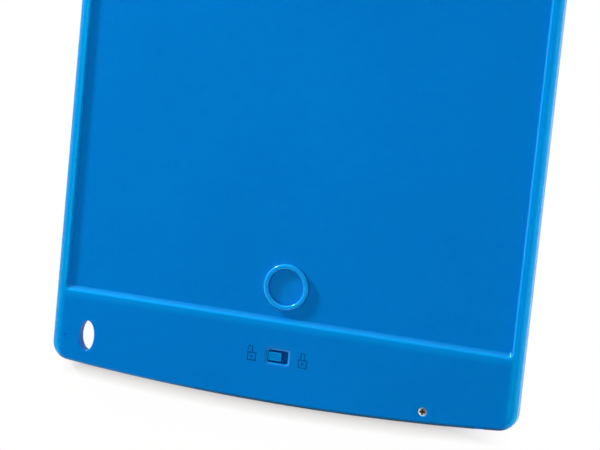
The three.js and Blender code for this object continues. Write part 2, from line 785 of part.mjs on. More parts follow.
function cellCan() {
  const rimZ = trayTopZ - cellCapStep;
  return turned([
    [0, cellZ], [cellRadius, cellZ], [cellRadius, rimZ], [cellRadius - cellCanWall, rimZ],
    [cellRadius - cellCanWall, cellZ + cellCanWall], [0, cellZ + cellCanWall],
  ], cellX, cellY, ringSteps);
}

function cellGasket() {
  const outer = cellRadius - cellCanWall - gasketGap;
  const inner = cellCapRadius + gasketGap;
  const low = cellZ + cellCanWall;
  const high = trayTopZ - cellCapStep;
  return turned([
    [inner, low], [outer, low], [outer, high], [inner, high], [inner, low],
  ], cellX, cellY, ringSteps);
}

function cellCap() {
  return cylinder(cellCapRadius, cellX, cellY, cellZ + cellCanWall, trayTopZ, ringSteps);
}

// The contact over the cell: a foot on the board, a rise and a leaf that ends in a rounded dimple
function contactOverCell() {
  const foot = boardRight - contactFromBoardEnd;
  const leafZ = trayTopZ + contactLift;
  const end = cellX - contactReach;
  const bend = boardRight - contactThickness;
  const path = [
    [foot - contactFoot / 2, boardBackZ], [bend, boardBackZ],
    [bend + contactThickness, leafZ], [end, leafZ],
  ];
  const points = [...path, ...path.toReversed().map(([x, z]) => [x, z + contactThickness])];
  const shape = new THREE.Shape(points.map(([x, z]) => new THREE.Vector2(x, z)));
  const geometry = new THREE.ExtrudeGeometry(shape, { depth: contactWidth, bevelEnabled: false });
  return solid(geometry.rotateX(Math.PI / 2).translate(0, cellY + contactWidth / 2, 0));
}

// The contact beside the cell: a strip on edge from the board round to the cell's rim
function contactBesideCell() {
  const foot = boardRight - contactFromBoardEnd;
  const rimY = cellY + cellRadius + contactFromCell;
  const farY = rimY + contactThickness;
  const top = boardBackZ + contactStripHeight;
  return block(foot, foot + contactThickness, boardTopY - contactFoot, farY, boardBackZ, top)
    .add(block(foot, cellX + contactReach, rimY, farY, boardBackZ, top));
}

function trayScrew() {
  const top = bodyThickness - screwSunk;
  const under = top - screwHeadHeight;
  const tip = trayTopZ + screwTipGap;
  const cross = (width, length) => centredBlock(screwX, screwY, width, length,
    top - screwCrossDepth, top + cutOverrun);
  return turned([
    [0, tip], [screwShankRadius, tip], [screwShankRadius, under], [screwHeadRadius, top - screwSeatGap],
    [screwHeadRadius, top], [0, top],
  ], screwX, screwY, roundSteps)
    .subtract(cross(screwCrossLength, screwCrossWidth))
    .subtract(cross(screwCrossWidth, screwCrossLength));
}

// Stylus, lying along the top edge with its tip to the left
function turnedAlongX(profile) {
  const points = profile.map(([x, radius]) => new THREE.Vector2(radius, x));
  const geometry = new THREE.LatheGeometry(points, smallRoundSteps);
  return solid(geometry.rotateZ(-Math.PI / 2).translate(0, stylusY, stylusZ));
}

function stylusBarrel() {
  const left = -stylusHalf + stylusTipLength;
  const right = stylusHalf - stylusCapLength;
  const neck = (x) => [
    [x - clipWidth / 2 - clipSideGap - (stylusRadius - stylusNeckRadius), stylusRadius],
    [x - clipWidth / 2 - clipSideGap, stylusNeckRadius],
    [x + clipWidth / 2 + clipSideGap, stylusNeckRadius],
    [x + clipWidth / 2 + clipSideGap + (stylusRadius - stylusNeckRadius), stylusRadius],
  ];
  const socket = stylusStemRadius + stylusStemGap;
  const socketDepth = stylusStem + stylusStemGap;
  return turnedAlongX([
    [left + socketDepth, 0], [left + socketDepth, socket], [left, socket], [left, stylusRadius],
    ...neck(-clipX), ...neck(clipX),
    [right, stylusRadius], [right, socket], [right - socketDepth, socket], [right - socketDepth, 0],
  ]);
}

function stylusTip() {
  const shoulder = -stylusHalf + stylusTipLength - stylusJointGap;
  const nose = arcPoints(-stylusHalf + stylusTipRound, 0, stylusTipRound, Math.PI, Math.PI / 2, edgeSteps);
  return turnedAlongX([
    ...nose.map(([x, radius]) => [x, Math.max(0, radius)]),
    [shoulder, stylusRadius], [shoulder, stylusStemRadius], [shoulder + stylusStem, stylusStemRadius],
    [shoulder + stylusStem, 0],
  ]);
}

function stylusCap() {
  const shoulder = stylusHalf - stylusCapLength + stylusJointGap;
  const round = arcPoints(stylusHalf - stylusCapRound, stylusRadius - stylusCapRound, stylusCapRound,
    Math.PI / 2, 0, edgeSteps);
  return turnedAlongX([
    [shoulder - stylusStem, 0], [shoulder - stylusStem, stylusStemRadius], [shoulder, stylusStemRadius],
    [shoulder, stylusRadius], ...round, [stylusHalf, 0],
  ]);
}

const blue = plastic(0x0071c4, 0.32);
const knobBlue = plastic(0x1a86d8, 0.4);
const trayBlue = plastic(0x0069b8, 0.4);
const blackPlastic = plastic(0x17181a, 0.5);
const screenFilm = plastic(0x1b2422, 0.2);
const backFilm = plastic(0x0b0c0d, 0.5);
const foam = plastic(0x2b2d30, 0.95);
const whiteTape = plastic(0xd9d8d2, 0.7);
const greenBoard = plastic(0x0f5a34, 0.45);
const amberFlex = plastic(0xb56a1e, 0.4);
const ceramic = plastic(0x8a6f4e, 0.6);
const ferrite = plastic(0x3a3a3d, 0.7);
const gasketPlastic = plastic(0xcfd2d4, 0.5);
const steel = metal(0xb9bbbd, 0.3);
const brass = metal(0xc9a04e, 0.35);

addPiece('back_cover', backCover(), blue);
addPiece('front_frame', frontFrame(), blue);
addPiece('film_tape', tape(), whiteTape);
addPiece('lcd_front_film', film(frontFilmZ, leadSpacing / 2), screenFilm);
addPiece('lcd_rear_film', film(rearFilmZ, -leadSpacing / 2), backFilm);
addPiece('backing_sheet', roundedBlock(0, windowY + sheetSetback, filmWidth - 2 * sheetSetback,
  filmLength - 4 * sheetSetback, windowCornerRadius, sheetZ, panelUnderZ), foam);
addPiece('film_lead_front', filmLead(-leadSpacing / 2, rearFilmZ), amberFlex);
addPiece('film_lead_rear', filmLead(leadSpacing / 2, rearFilmZ - leadThickness), amberFlex);
addPiece('circuit_board', board(), greenBoard);
const [leftScrewX, rightScrewX] = boardScrewPlaces();
addPiece('board_screw_left', boardScrew(leftScrewX), steel);
addPiece('board_screw_right', boardScrew(rightScrewX), steel);
addPiece('driver_chip', chip(), blackPlastic);
addPiece('boost_inductor', inductor(), ferrite);
addPiece('rectifier_diode', chipPart(diodeX, smallPartY, diodeWidth, diodeLength, diodeHeight),
  blackPlastic);
for (let i = 0; i < 3; i += 1) {
  addPiece(`capacitor_${i + 1}`, chipPart(capacitorX + i * capacitorPitch, smallPartY,
    capacitorWidth, capacitorLength, capacitorHeight), ceramic);
}
for (let i = 0; i < 2; i += 1) {
  addPiece(`resistor_${i + 1}`, chipPart(resistorX + i * resistorPitch, chipY,
    resistorWidth, resistorLength, resistorHeight), blackPlastic);
}
addPiece('erase_button', eraseButton(), blue);
addPiece('erase_switch_body', pushBody(), blackPlastic);
addPiece('erase_switch_plunger', cylinder(plungerRadius, 0, buttonY,
  buttonUnderZ, buttonUnderZ + plungerHeight, smallRoundSteps), blackPlastic);
addPiece('lock_switch_body', lockBody(), steel);
addPiece('lock_switch_lever', lockLever(), blackPlastic);
addPiece('lock_knob', lockKnob(), knobBlue);
addPiece('battery_tray', batteryTray(), trayBlue);
addPiece('cell_can', cellCan(), steel);
addPiece('cell_gasket', cellGasket(), gasketPlastic);
addPiece('cell_cap', cellCap(), steel);
addPiece('contact_negative', contactOverCell(), brass);
addPiece('contact_positive', contactBesideCell(), brass);
addPiece('tray_screw', trayScrew(), steel);
addPiece('stylus_barrel', stylusBarrel(), blackPlastic);
addPiece('stylus_tip', stylusTip(), blackPlastic);
addPiece('stylus_end_cap', stylusCap(), blackPlastic);

export default tablet;
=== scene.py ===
import math

import bmesh
import bpy
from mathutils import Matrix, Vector


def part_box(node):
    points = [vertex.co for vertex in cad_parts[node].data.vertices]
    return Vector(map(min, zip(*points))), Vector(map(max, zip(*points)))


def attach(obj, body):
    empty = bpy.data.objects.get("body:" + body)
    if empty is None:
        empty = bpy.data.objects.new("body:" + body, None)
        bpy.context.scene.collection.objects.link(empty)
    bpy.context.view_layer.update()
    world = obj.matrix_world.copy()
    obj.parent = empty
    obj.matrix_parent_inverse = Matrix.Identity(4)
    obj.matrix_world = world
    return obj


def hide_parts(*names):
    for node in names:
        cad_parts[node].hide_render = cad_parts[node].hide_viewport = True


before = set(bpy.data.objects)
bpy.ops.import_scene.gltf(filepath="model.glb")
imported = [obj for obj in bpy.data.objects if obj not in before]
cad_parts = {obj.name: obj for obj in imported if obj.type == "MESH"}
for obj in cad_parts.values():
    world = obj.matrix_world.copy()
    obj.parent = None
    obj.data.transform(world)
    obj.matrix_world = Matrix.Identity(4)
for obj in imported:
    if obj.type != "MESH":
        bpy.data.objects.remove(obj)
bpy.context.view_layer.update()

# Camera
# It stands where the photograph was taken from: in front of the screw corner, looking down at the
# lower half of the tablet's back, with a long lens. Its place is in metres from the tablet's middle.
lens = bpy.data.cameras.new("camera")
lens.lens = 138
lens.clip_start = 0.02
camera = bpy.data.objects.new("camera", lens)
bpy.context.scene.collection.objects.link(camera)
camera.location = (0.194826, 0.038528, 0.640821)
camera.rotation_mode = "ZYX"
camera.rotation_euler = (-0.151149, 0.290570, 0.142899)
bpy.context.scene.camera = camera

# Studio light
# One square softbox low on the upper left gives the gloss lines and the short soft shadows. The
# room is pale round the horizon and darker overhead, so flat faces stay deep in colour while their
# rounded edges pick up the pale walls.
mm = 0.001
lit_place = Vector((0, -40 * mm, 5 * mm))
to_softbox = Vector((-0.773, 0.583, 0.250)).normalized()
softbox_distance = 0.7
softbox = bpy.data.lights.new("softbox", "AREA")
softbox.shape = "SQUARE"
softbox.size = 0.075
softbox.energy = 5.7
softbox_object = bpy.data.objects.new("softbox", softbox)
bpy.context.scene.collection.objects.link(softbox_object)
softbox_object.location = lit_place + to_softbox * softbox_distance
softbox_object.rotation_euler = (-to_softbox).to_track_quat("-Z", "Y").to_euler()
softbox_object.visible_camera = False


def add_node(tree, kind, inputs=None, **settings):
    """Adds a node, sets its properties, and sets or links its input sockets."""
    node = tree.nodes.new(kind)
    for name, value in settings.items():
        setattr(node, name, value)
    for socket, value in (inputs or {}).items():
        if isinstance(value, bpy.types.NodeSocket):
            tree.links.new(value, node.inputs[socket])
        else:
            node.inputs[socket].default_value = value
    return node


room = bpy.data.worlds.new("room")
bpy.context.scene.world = room
room.use_nodes = True
tree = room.node_tree
tree.nodes.clear()
direction = add_node(tree, "ShaderNodeTexCoord")
height = add_node(tree, "ShaderNodeSeparateXYZ", {"Vector": direction.outputs["Generated"]})
rays = add_node(tree, "ShaderNodeLightPath")
# Strength by the height of the direction, for light that scatters and for what gloss mirrors
ramps = {}
for name, from_height, to_height, from_strength, to_strength, rise in (
    ("overhead", 0.75, 0.9, 0.22, 1.54, "SMOOTHSTEP"),
    ("from_below", 0.0, -0.3, 0.0, 0.9, "LINEAR"),
    ("mirrored", 0.6, 0.85, 1.6, 0.06, "SMOOTHSTEP"),
    ("mirrored_below", -0.3, 0.0, 0.25, 1.0, "LINEAR"),
):
    ramps[name] = add_node(tree, "ShaderNodeMapRange", {
        "Value": height.outputs["Z"], "From Min": from_height, "From Max": to_height,
        "To Min": from_strength, "To Max": to_strength,
    }, interpolation_type=rise).outputs["Result"]
scattered = add_node(tree, "ShaderNodeMath", {
    0: ramps["overhead"], 1: ramps["from_below"],
}, operation="MAXIMUM")
mirrored = add_node(tree, "ShaderNodeMath", {
    0: ramps["mirrored"], 1: ramps["mirrored_below"],
}, operation="MULTIPLY")
reflected = add_node(tree, "ShaderNodeMath", {
    0: rays.outputs["Is Glossy Ray"], 1: rays.outputs["Is Transmission Ray"],
}, operation="MAXIMUM")
seen_in = add_node(tree, "ShaderNodeMix", {
    "Factor": reflected.outputs[0], 2: scattered.outputs[0], 3: mirrored.outputs[0],
})
strength = add_node(tree, "ShaderNodeMix", {
    "Factor": rays.outputs["Is Camera Ray"], 2: seen_in.outputs[0], 3: 1.0,
})
walls = add_node(tree, "ShaderNodeBackground", {
    "Color": (1.0, 1.0, 1.0, 1.0), "Strength": strength.outputs[0],
})
add_node(tree, "ShaderNodeOutputWorld", {"Surface": walls.outputs[0]})
bpy.context.scene.view_settings.view_transform = "Standard"

# Floor
# A plain white table top. It glows to the eye, so that it stays white as a brightly lit table does, and
# keeps only the thin shadow along the bottom edge. Its matt part is painted dark grey to the tablet's
# rays, a painted shade, and past the right side it glows brighter to them, a glow that lights the rim
# though the table is no lamp. Under the tablet it is open, which lets light reach the screen side, and
# from below it isn't seen.
floor_reach = 3.0
floor_drop = 0.05 * mm
opening_inset = 6 * mm
shadow_reach = 5.5 * mm
tablet_low, tablet_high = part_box("back_cover")
bow = 3.4 * mm
bow_radius = (tablet_high.x ** 2 + bow ** 2) / (2 * bow)
bow_centre_y = tablet_low.y + bow_radius


def linear(code):
    """Turns an sRGB hex colour into the linear colour that the shader takes."""
    shares = [int(code[i:i + 2], 16) / 255 for i in (1, 3, 5)]
    return [s / 12.92 if s <= 0.04045 else ((s + 0.055) / 1.055) ** 2.4 for s in shares] + [1.0]


def material_tree(name):
    """A new material with an empty node tree."""
    material = bpy.data.materials.new(name)
    material.use_nodes = True
    material.node_tree.nodes.clear()
    return material, material.node_tree


def place_of(item):
    """The corners of a vertex, an edge or a face in edit mode."""
    if isinstance(item, bmesh.types.BMVert):
        return [item.co]
    return [corner.co for corner in item.verts]


def pick(piece=None):
    """Selects one piece alone, or nothing."""
    bpy.ops.object.select_all(action="DESELECT")
    if piece:
        piece.select_set(True)
        bpy.context.view_layer.objects.active = piece


def shape(piece, kind, where, operator, **settings):
    """Selects the piece's vertices, edges or faces that pass the test, and works on them."""
    pick(piece)
    bpy.ops.object.mode_set(mode="EDIT")
    bpy.ops.mesh.select_mode(type=kind)
    bpy.ops.mesh.select_all(action="DESELECT")
    form = bmesh.from_edit_mesh(piece.data)
    for item in {"VERT": form.verts, "EDGE": form.edges, "FACE": form.faces}[kind]:
        if where(item):
            item.select_set(True)
    form.select_flush_mode()
    bmesh.update_edit_mesh(piece.data)
    operator(**settings)
    bpy.ops.object.mode_set(mode="OBJECT")


def everything(item):
    return True


def begin(name, operator, **settings):
    """Adds a primitive, names it, and moves its place into its mesh."""
    pick()
    operator(**settings)
    piece = bpy.context.object
    piece.name = name
    piece.data.name = name
    bpy.ops.object.transform_apply(location=True, rotation=True, scale=True)
    return piece


hole_x = tablet_high.x - opening_inset
hole_y = tablet_high.y - opening_inset
floor = begin("floor", bpy.ops.mesh.primitive_plane_add, size=1, location=(0, 0, -floor_drop))
shape(floor, "FACE", everything, bpy.ops.transform.resize,
      value=(2 * (hole_x + floor_reach), 2 * (hole_y + floor_reach), 1))
shape(floor, "FACE", everything, bpy.ops.mesh.inset, thickness=floor_reach)
shape(floor, "FACE", lambda face: face.calc_area() < 5 * hole_x * hole_y,
      bpy.ops.mesh.delete, type="FACE")
white_table, tree = material_tree("white_laminate")
rays = add_node(tree, "ShaderNodeLightPath")
# Painted shade: the matt table is dark grey to the tablet's rays and warm white to the eye, so the
# tablet's bottom edge sees a darker table
white_or_painted_dark = add_node(tree, "ShaderNodeMix", {
    "Factor": rays.outputs["Is Camera Ray"], 6: linear("#505458"), 7: linear("#F6EFE6"),
}, data_type="RGBA")
matt = add_node(tree, "ShaderNodeBsdfPrincipled", {
    "Base Color": white_or_painted_dark.outputs[2], "Roughness": 0.6, "Specular IOR Level": 0.2,
})
spot = add_node(tree, "ShaderNodeTexCoord")
across = add_node(tree, "ShaderNodeSeparateXYZ", {"Vector": spot.outputs["Object"]})
sides = {}
for side, axis, from_place, to_place, rise in (
    ("right", "X", 40 * mm, 72 * mm, "SMOOTHSTEP"), ("left", "X", -60 * mm, -71 * mm, "LINEAR"),
    ("far", "Y", tablet_low.y + 10 * mm, tablet_low.y + 30 * mm, "LINEAR"),
):
    sides[side] = add_node(tree, "ShaderNodeMapRange", {
        "Value": across.outputs[axis], "From Min": from_place, "From Max": to_place,
    }, interpolation_type=rise).outputs["Result"]
# Past the right side the table glows brighter to the tablet's rays: a glow that lights the rim there,
# though the table is no lamp
rim_lighting_glow = add_node(tree, "ShaderNodeMapRange", {
    "Value": sides["right"], "To Min": 0.9, "To Max": 2.2,
})
strength = add_node(tree, "ShaderNodeMix", {
    "Factor": rays.outputs["Is Diffuse Ray"], 2: 1.0, 3: rim_lighting_glow.outputs["Result"],
})
glow = add_node(tree, "ShaderNodeEmission", {
    "Color": linear("#FFFFFF"), "Strength": strength.outputs[0],
})
# Close along the bowed bottom edge the table glows less and stays matt, which keeps the shadow there
from_bow = add_node(tree, "ShaderNodeVectorMath", {
    0: spot.outputs["Object"], 1: (0, bow_centre_y, 0),
}, operation="DISTANCE")
off_edge = add_node(tree, "ShaderNodeMapRange", {
    "Value": from_bow.outputs["Value"], "From Min": bow_radius, "From Max": bow_radius + shadow_reach,
    "To Min": 0.1, "To Max": 0.98,
})
seen = add_node(tree, "ShaderNodeMapRange", {
    "Value": rays.outputs["Is Camera Ray"], "To Min": 0.2, "To Max": 1.0,
})
glow_share = add_node(tree, "ShaderNodeMath", {
    0: off_edge.outputs["Result"], 1: seen.outputs["Result"],
}, operation="MULTIPLY").outputs[0]
for side in ("right", "left", "far"):
    glow_share = add_node(tree, "ShaderNodeMath", {
        0: glow_share, 1: sides[side],
    }, operation="MAXIMUM").outputs[0]
top_face = add_node(tree, "ShaderNodeMixShader", {
    "Fac": glow_share, 1: matt.outputs["BSDF"], 2: glow.outputs["Emission"],
})
from_below = add_node(tree, "ShaderNodeBsdfTransparent")
facing = add_node(tree, "ShaderNodeNewGeometry")
both = add_node(tree, "ShaderNodeMixShader", {
    "Fac": facing.outputs["Backfacing"], 1: top_face.outputs[0], 2: from_below.outputs[0],
})
add_node(tree, "ShaderNodeOutputMaterial", {"Surface": both.outputs[0]})
floor.data.materials.append(white_table)

# Back cover
# The blue shell that the photograph shows: injection-moulded ABS, bonded to the front frame. A
# wide panel is sunk between narrow rims and a plain band, with a low ring moulded on the panel for
# a round magnet. The band carries the lanyard hole, the lock slot, two marks and the screw seat.
low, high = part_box("back_cover")
half_width = high.x
bottom_y = low.y
top_y = high.y
back_z = high.z
lip_height = 0.7 * mm
split_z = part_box("front_frame")[1].z - lip_height
corner_radius = 5.2 * mm
side_wall = 1.4 * mm
panel_depth = 1.3 * mm
step_y = bottom_y + 24.6 * mm
slot_y = top_y - 5.2 * mm
slot_half_length = 59.4 * mm


def near(value, target, slack=0.02 * mm):
    return abs(value - target) < slack


def level(z):
    """A test for what lies flat at one height."""
    return lambda item: all(near(corner.z, z) for corner in place_of(item))


def outline_slab(name, inset, z0, z1):
    """A slab in the tablet's outline, drawn in by an inset: a plate is given the bowed bottom edge
    by spinning its lower left corner round to the right, then its corners are rounded, and it is
    extruded up."""
    side_x = half_width - inset
    radius = bow_radius - inset
    edge_y = bow_centre_y - math.sqrt(radius ** 2 - side_x ** 2)
    half_turn = math.asin(side_x / radius)
    far_y = top_y - inset
    slab = begin(name, bpy.ops.mesh.primitive_plane_add, size=1,
                 location=(0, (edge_y + far_y) / 2, z0))
    shape(slab, "FACE", everything, bpy.ops.transform.resize, value=(2 * side_x, far_y - edge_y, 1))
    shape(slab, "EDGE", lambda edge: all(near(c.y, edge_y) for c in place_of(edge)),
          bpy.ops.mesh.delete, type="EDGE_FACE")
    shape(slab, "VERT", lambda corner: corner.co.x < 0 and near(corner.co.y, edge_y),
          bpy.ops.mesh.spin, steps=12, angle=-2 * half_turn,
          center=(0, bow_centre_y, z0), axis=(0, 0, 1))
    shape(slab, "VERT", everything, bpy.ops.mesh.remove_doubles, threshold=0.01 * mm)
    shape(slab, "EDGE", everything, bpy.ops.mesh.edge_face_add)
    low_offset = (corner_radius - inset) / math.tan(math.pi / 4 + half_turn / 2)
    for end_y, offset in ((edge_y, low_offset), (far_y, corner_radius - inset)):
        shape(slab, "VERT",
              lambda corner: near(abs(corner.co.x), side_x) and near(corner.co.y, end_y),
              bpy.ops.mesh.bevel, offset=offset, segments=8, affect="VERTICES")
    shape(slab, "FACE", everything, bpy.ops.mesh.extrude_region_move,
          TRANSFORM_OT_translate={"value": (0, 0, z1 - z0)})
    shape(slab, "FACE", everything, bpy.ops.mesh.normals_make_consistent, inside=False)
    return slab


def box_slab(name, corner_a, corner_b, round_corners=0):
    """A block between two corners, with its upright edges rounded where asked."""
    a, b = Vector(corner_a), Vector(corner_b)
    slab = begin(name, bpy.ops.mesh.primitive_cube_add, size=1, location=(a + b) / 2, scale=b - a)
    if round_corners:
        shape(slab, "EDGE", upright, bpy.ops.mesh.bevel, offset=round_corners, segments=6)
    return slab


def upright(edge):
    a, b = place_of(edge)
    return near(a.x, b.x) and near(a.y, b.y)


def use_modifier(piece, kind, **settings):
    """Gives the piece one modifier and applies it."""
    modifier = piece.modifiers.new(kind.lower(), kind)
    for name, value in settings.items():
        setattr(modifier, name, value)
    pick(piece)
    bpy.ops.object.modifier_apply(modifier=modifier.name)


def carve(piece, tool, how="DIFFERENCE"):
    """Cuts the tool out of the piece, or joins it on, and takes the tool away."""
    use_modifier(piece, "BOOLEAN", object=tool, operation=how, solver="MANIFOLD")
    bpy.data.objects.remove(tool)


def turned(name, profile, place, steps=48, along_x=False):
    """A lathe shape: a point is extruded along the profile and spun round the upright axis or the
    X axis, then the shape is moved to its place. The profile is a list of (radius, height)."""
    points = [Vector((h, r, 0)) if along_x else Vector((r, 0, h)) for r, h in profile]
    piece = begin(name, bpy.ops.mesh.primitive_plane_add, size=mm)
    shape(piece, "VERT", everything, bpy.ops.mesh.merge, type="CENTER")
    shape(piece, "VERT", everything, bpy.ops.transform.translate, value=points[0])
    bpy.ops.object.mode_set(mode="EDIT")
    for here, there in zip(points, points[1:]):
        bpy.ops.mesh.extrude_vertices_move(TRANSFORM_OT_translate={"value": there - here})
    bpy.ops.object.mode_set(mode="OBJECT")
    shape(piece, "VERT", everything, bpy.ops.mesh.spin, steps=steps, angle=2 * math.pi,
          center=(0, 0, 0), axis=(1, 0, 0) if along_x else (0, 0, 1))
    shape(piece, "VERT", everything, bpy.ops.mesh.remove_doubles, threshold=0.002 * mm)
    shape(piece, "FACE", everything, bpy.ops.mesh.normals_make_consistent, inside=False)
    shape(piece, "VERT", everything, bpy.ops.transform.translate, value=place)
    return piece


def curve(centre, radius, start, end, steps=6):
    """Points on an arc, as (radius, height) pairs, between two angles in degrees."""
    angles = [math.radians(start + (end - start) * i / steps) for i in range(steps + 1)]
    return [(centre[0] + radius * math.cos(a), centre[1] + radius * math.sin(a)) for a in angles]


def finish_surface(piece, sharp_from=35):
    """Smooth shading over rounded edges, with flat faces kept flat, and no slivers left by cuts."""
    shape(piece, "VERT", everything, bpy.ops.mesh.dissolve_degenerate, threshold=0.001 * mm)
    pick(piece)
    bpy.ops.object.shade_smooth_by_angle(angle=math.radians(sharp_from))
    use_modifier(piece, "WEIGHTED_NORMAL", mode="FACE_AREA", weight=50, keep_sharp=True)


def raise_top(slab, start_z, heights, sizes):
    """Carries the slab's flat top up through the heights, resized about the middle at each: the
    sizes function gives its half width, half length and middle y at a height."""
    top, before = start_z, sizes(start_z)
    for z in heights:
        now = sizes(z)
        shape(slab, "FACE", level(top), bpy.ops.mesh.extrude_region_move,
              TRANSFORM_OT_translate={"value": (0, now[2] - before[2], z - top)})
        shape(slab, "FACE", level(z), bpy.ops.transform.resize,
              value=(now[0] / before[0], now[1] / before[1], 1), center_override=(0, now[2], z))
        top, before = z, now


def drawn_in(z, radius):
    """How far a rounded top edge has drawn in at a height."""
    rise = max(0.0, z - (back_z - radius))
    return radius - math.sqrt(max(0.0, radius ** 2 - rise ** 2))


side_round = 2.1 * mm
end_round = 1.05 * mm
parting_round = 0.12 * mm
round_steps = 10
cover = outline_slab("back_cover_shell", 0, split_z, back_z - side_round)
round_heights = [back_z - side_round * (1 - math.sin(math.pi / 2 * (i + 1) / round_steps))
                 for i in range(round_steps)]
raise_top(cover, back_z - side_round, round_heights,
          lambda z: (half_width - drawn_in(z, side_round), top_y - drawn_in(z, end_round), 0))
shape(cover, "EDGE", level(split_z), bpy.ops.mesh.bevel, offset=parting_round, segments=2)

# The panel recess: a block that widens upwards, with a slope at the step and steeper sides, and
# rounded over where the rims and the step meet it
rim_width = 3.1 * mm
panel_slope = 1.3 * mm
rim_slope = 0.35 * mm
panel_z = back_z - panel_depth
panel_top_y = slot_y - side_wall - rim_width
recess_corner = 1.3 * mm
recess_foot_round = 0.3 * mm
recess_round = 0.45 * mm
step_round = 0.3 * mm
overrun = 1 * mm
just_over = 0.01 * mm
mouth_steps = 5
foot_steps = 4
foot_x = half_width - rim_width - rim_slope
foot_low_y = step_y + panel_slope
foot_high_y = panel_top_y - rim_slope


def leaned_out(z, slope, rounding):
    """How far a wall of the recess has leaned out at a height, with the fillet at its foot and the
    round of its top edge."""
    top_share = min(1.0, max(0.0, (z - back_z) / recess_round + 1))
    foot_share = min(1.0, max(0.0, 1 - (z - panel_z) / recess_foot_round))
    return (slope * (z - panel_z) / panel_depth + rounding * (1 - math.sqrt(1 - top_share ** 2))
            - recess_foot_round * (1 - math.sqrt(1 - foot_share ** 2)))


def recess_size(z):
    side = leaned_out(z, rim_slope, 0.8 * recess_round)
    low_y = foot_low_y - leaned_out(z, panel_slope, step_round)
    high_y = foot_high_y + leaned_out(z, rim_slope, 0.8 * recess_round)
    return foot_x + side, (high_y - low_y) / 2, (high_y + low_y) / 2


first_z = panel_z + recess_foot_round / 12
first_x, first_half_y, middle_y = recess_size(first_z)
recess = box_slab("recess", (-first_x, middle_y - first_half_y, panel_z),
                  (first_x, middle_y + first_half_y, first_z), recess_corner)
foot_heights = [panel_z + recess_foot_round * (i + 1) / foot_steps for i in range(foot_steps)]
mouth_heights = [back_z - recess_round * (1 - math.sin(math.pi / 2 * i / mouth_steps))
                 for i in range(mouth_steps)]
raise_top(recess, first_z, [*foot_heights, *mouth_heights, back_z + just_over, back_z + overrun],
          recess_size)
carve(cover, recess)

# The moulded ring, a low wall that is round on top
ring_y = step_y + 10.6 * mm
ring_outer = 6.85 * mm
ring_inner = 5.45 * mm
ring_round = 0.42 * mm
# How far joined forms reach into each other
weld = 0.3 * mm
ring = turned("ring", [
    (ring_inner, panel_z - weld), (ring_outer, panel_z - weld),
    *curve((ring_outer - ring_round, back_z - ring_round), ring_round, 0, 90),
    *curve((ring_inner + ring_round, back_z - ring_round), ring_round, 90, 180),
    (ring_inner, panel_z - weld),
], (0, ring_y, 0), 72)
carve(cover, ring, "UNION")

# The hollow inside: low under the panel, high in the band
panel_under_z = panel_z - 1.1 * mm
band_under_z = back_z - 1 * mm
step_wall = 0.8 * mm
hollow = outline_slab("hollow", side_wall, split_z - overrun, panel_under_z)
carve(hollow, box_slab("slot_side", (-half_width, slot_y - side_wall, 0),
                       (half_width, top_y, back_z)))
band_hollow = outline_slab("band_hollow", side_wall, panel_under_z - weld, band_under_z)
carve(band_hollow, box_slab("panel_side", (-half_width, step_y - step_wall, 0),
                            (half_width, top_y, back_z)))
carve(hollow, band_hollow, "UNION")
carve(cover, hollow)

# Lanyard hole: an upright oval right through, inside its boss
hole_place = Vector((-half_width + 11.3 * mm, bottom_y + 11.4 * mm, 0))
hole_half_width = 2.36 * mm
hole_half_length = 4.6 * mm
boss_wall = 1.2 * mm


def oval(name, place, half_x, half_y, z0, z1):
    """An upright oval block at a place, from one height to another."""
    return begin(name, bpy.ops.mesh.primitive_cylinder_add, vertices=64, radius=1, depth=1,
                 location=(place.x, place.y, (z0 + z1) / 2), scale=(half_x, half_y, z1 - z0))


carve(cover, oval("boss", hole_place, hole_half_width + boss_wall, hole_half_length + boss_wall,
                  split_z, band_under_z + weld), "UNION")


def flare(tool, place, half_x, half_y, start_z, profile):
    """Widens a cutting tool upwards from its top face, by steps of (how far out, at what height)."""
    top, out = start_z, 0
    for next_out, next_top in profile:
        shape(tool, "FACE", level(top), bpy.ops.mesh.extrude_region_move,
              TRANSFORM_OT_translate={"value": (0, 0, next_top - top)})
        shape(tool, "FACE", level(next_top), bpy.ops.transform.resize,
              value=((half_x + next_out) / (half_x + out), (half_y + next_out) / (half_y + out), 1),
              center_override=(place.x, place.y, next_top))
        top, out = next_top, next_out


def rounded_mouth(radius, steps=4):
    """The flare of an opening whose edge is rounded over into the back face."""
    angles = [math.pi / 2 * (i + 1) / steps for i in range(steps)]
    return [(radius * (1 - math.cos(a)), back_z - radius * (1 - math.sin(a))) for a in angles[:-1]] + [
        (radius, back_z + 0.02 * radius), (radius, back_z + overrun)]


hole_round = 0.25 * mm
hole = oval("hole", hole_place, hole_half_width, hole_half_length, 0, back_z - hole_round)
flare(hole, hole_place, hole_half_width, hole_half_length, back_z - hole_round,
      rounded_mouth(hole_round))
carve(cover, hole)

# Lock slot: an oblong opening with a broad soft edge
lock_place = Vector((-0.4 * mm, bottom_y + 14.2 * mm, 0))
slot_half = Vector((3.1 * mm, 1.85 * mm, 0))
slot_corner = 0.6 * mm
edge_depth = 0.6 * mm
edge_reach = 1.1 * mm
edge_steps = 8
slot_top_z = back_z - edge_depth
slot = box_slab("slot", lock_place - slot_half,
                lock_place + slot_half + Vector((0, 0, slot_top_z)), slot_corner)
edge_angles = [math.pi / 2 * (i + 1) / edge_steps for i in range(edge_steps - 1)]
flare(slot, lock_place, slot_half.x, slot_half.y, slot_top_z, [
    *[(edge_reach * (1 - math.cos(a)), back_z - edge_depth * (1 - math.sin(a))) for a in edge_angles],
    (edge_reach, back_z + just_over), (edge_reach, back_z + overrun)])
carve(cover, slot)

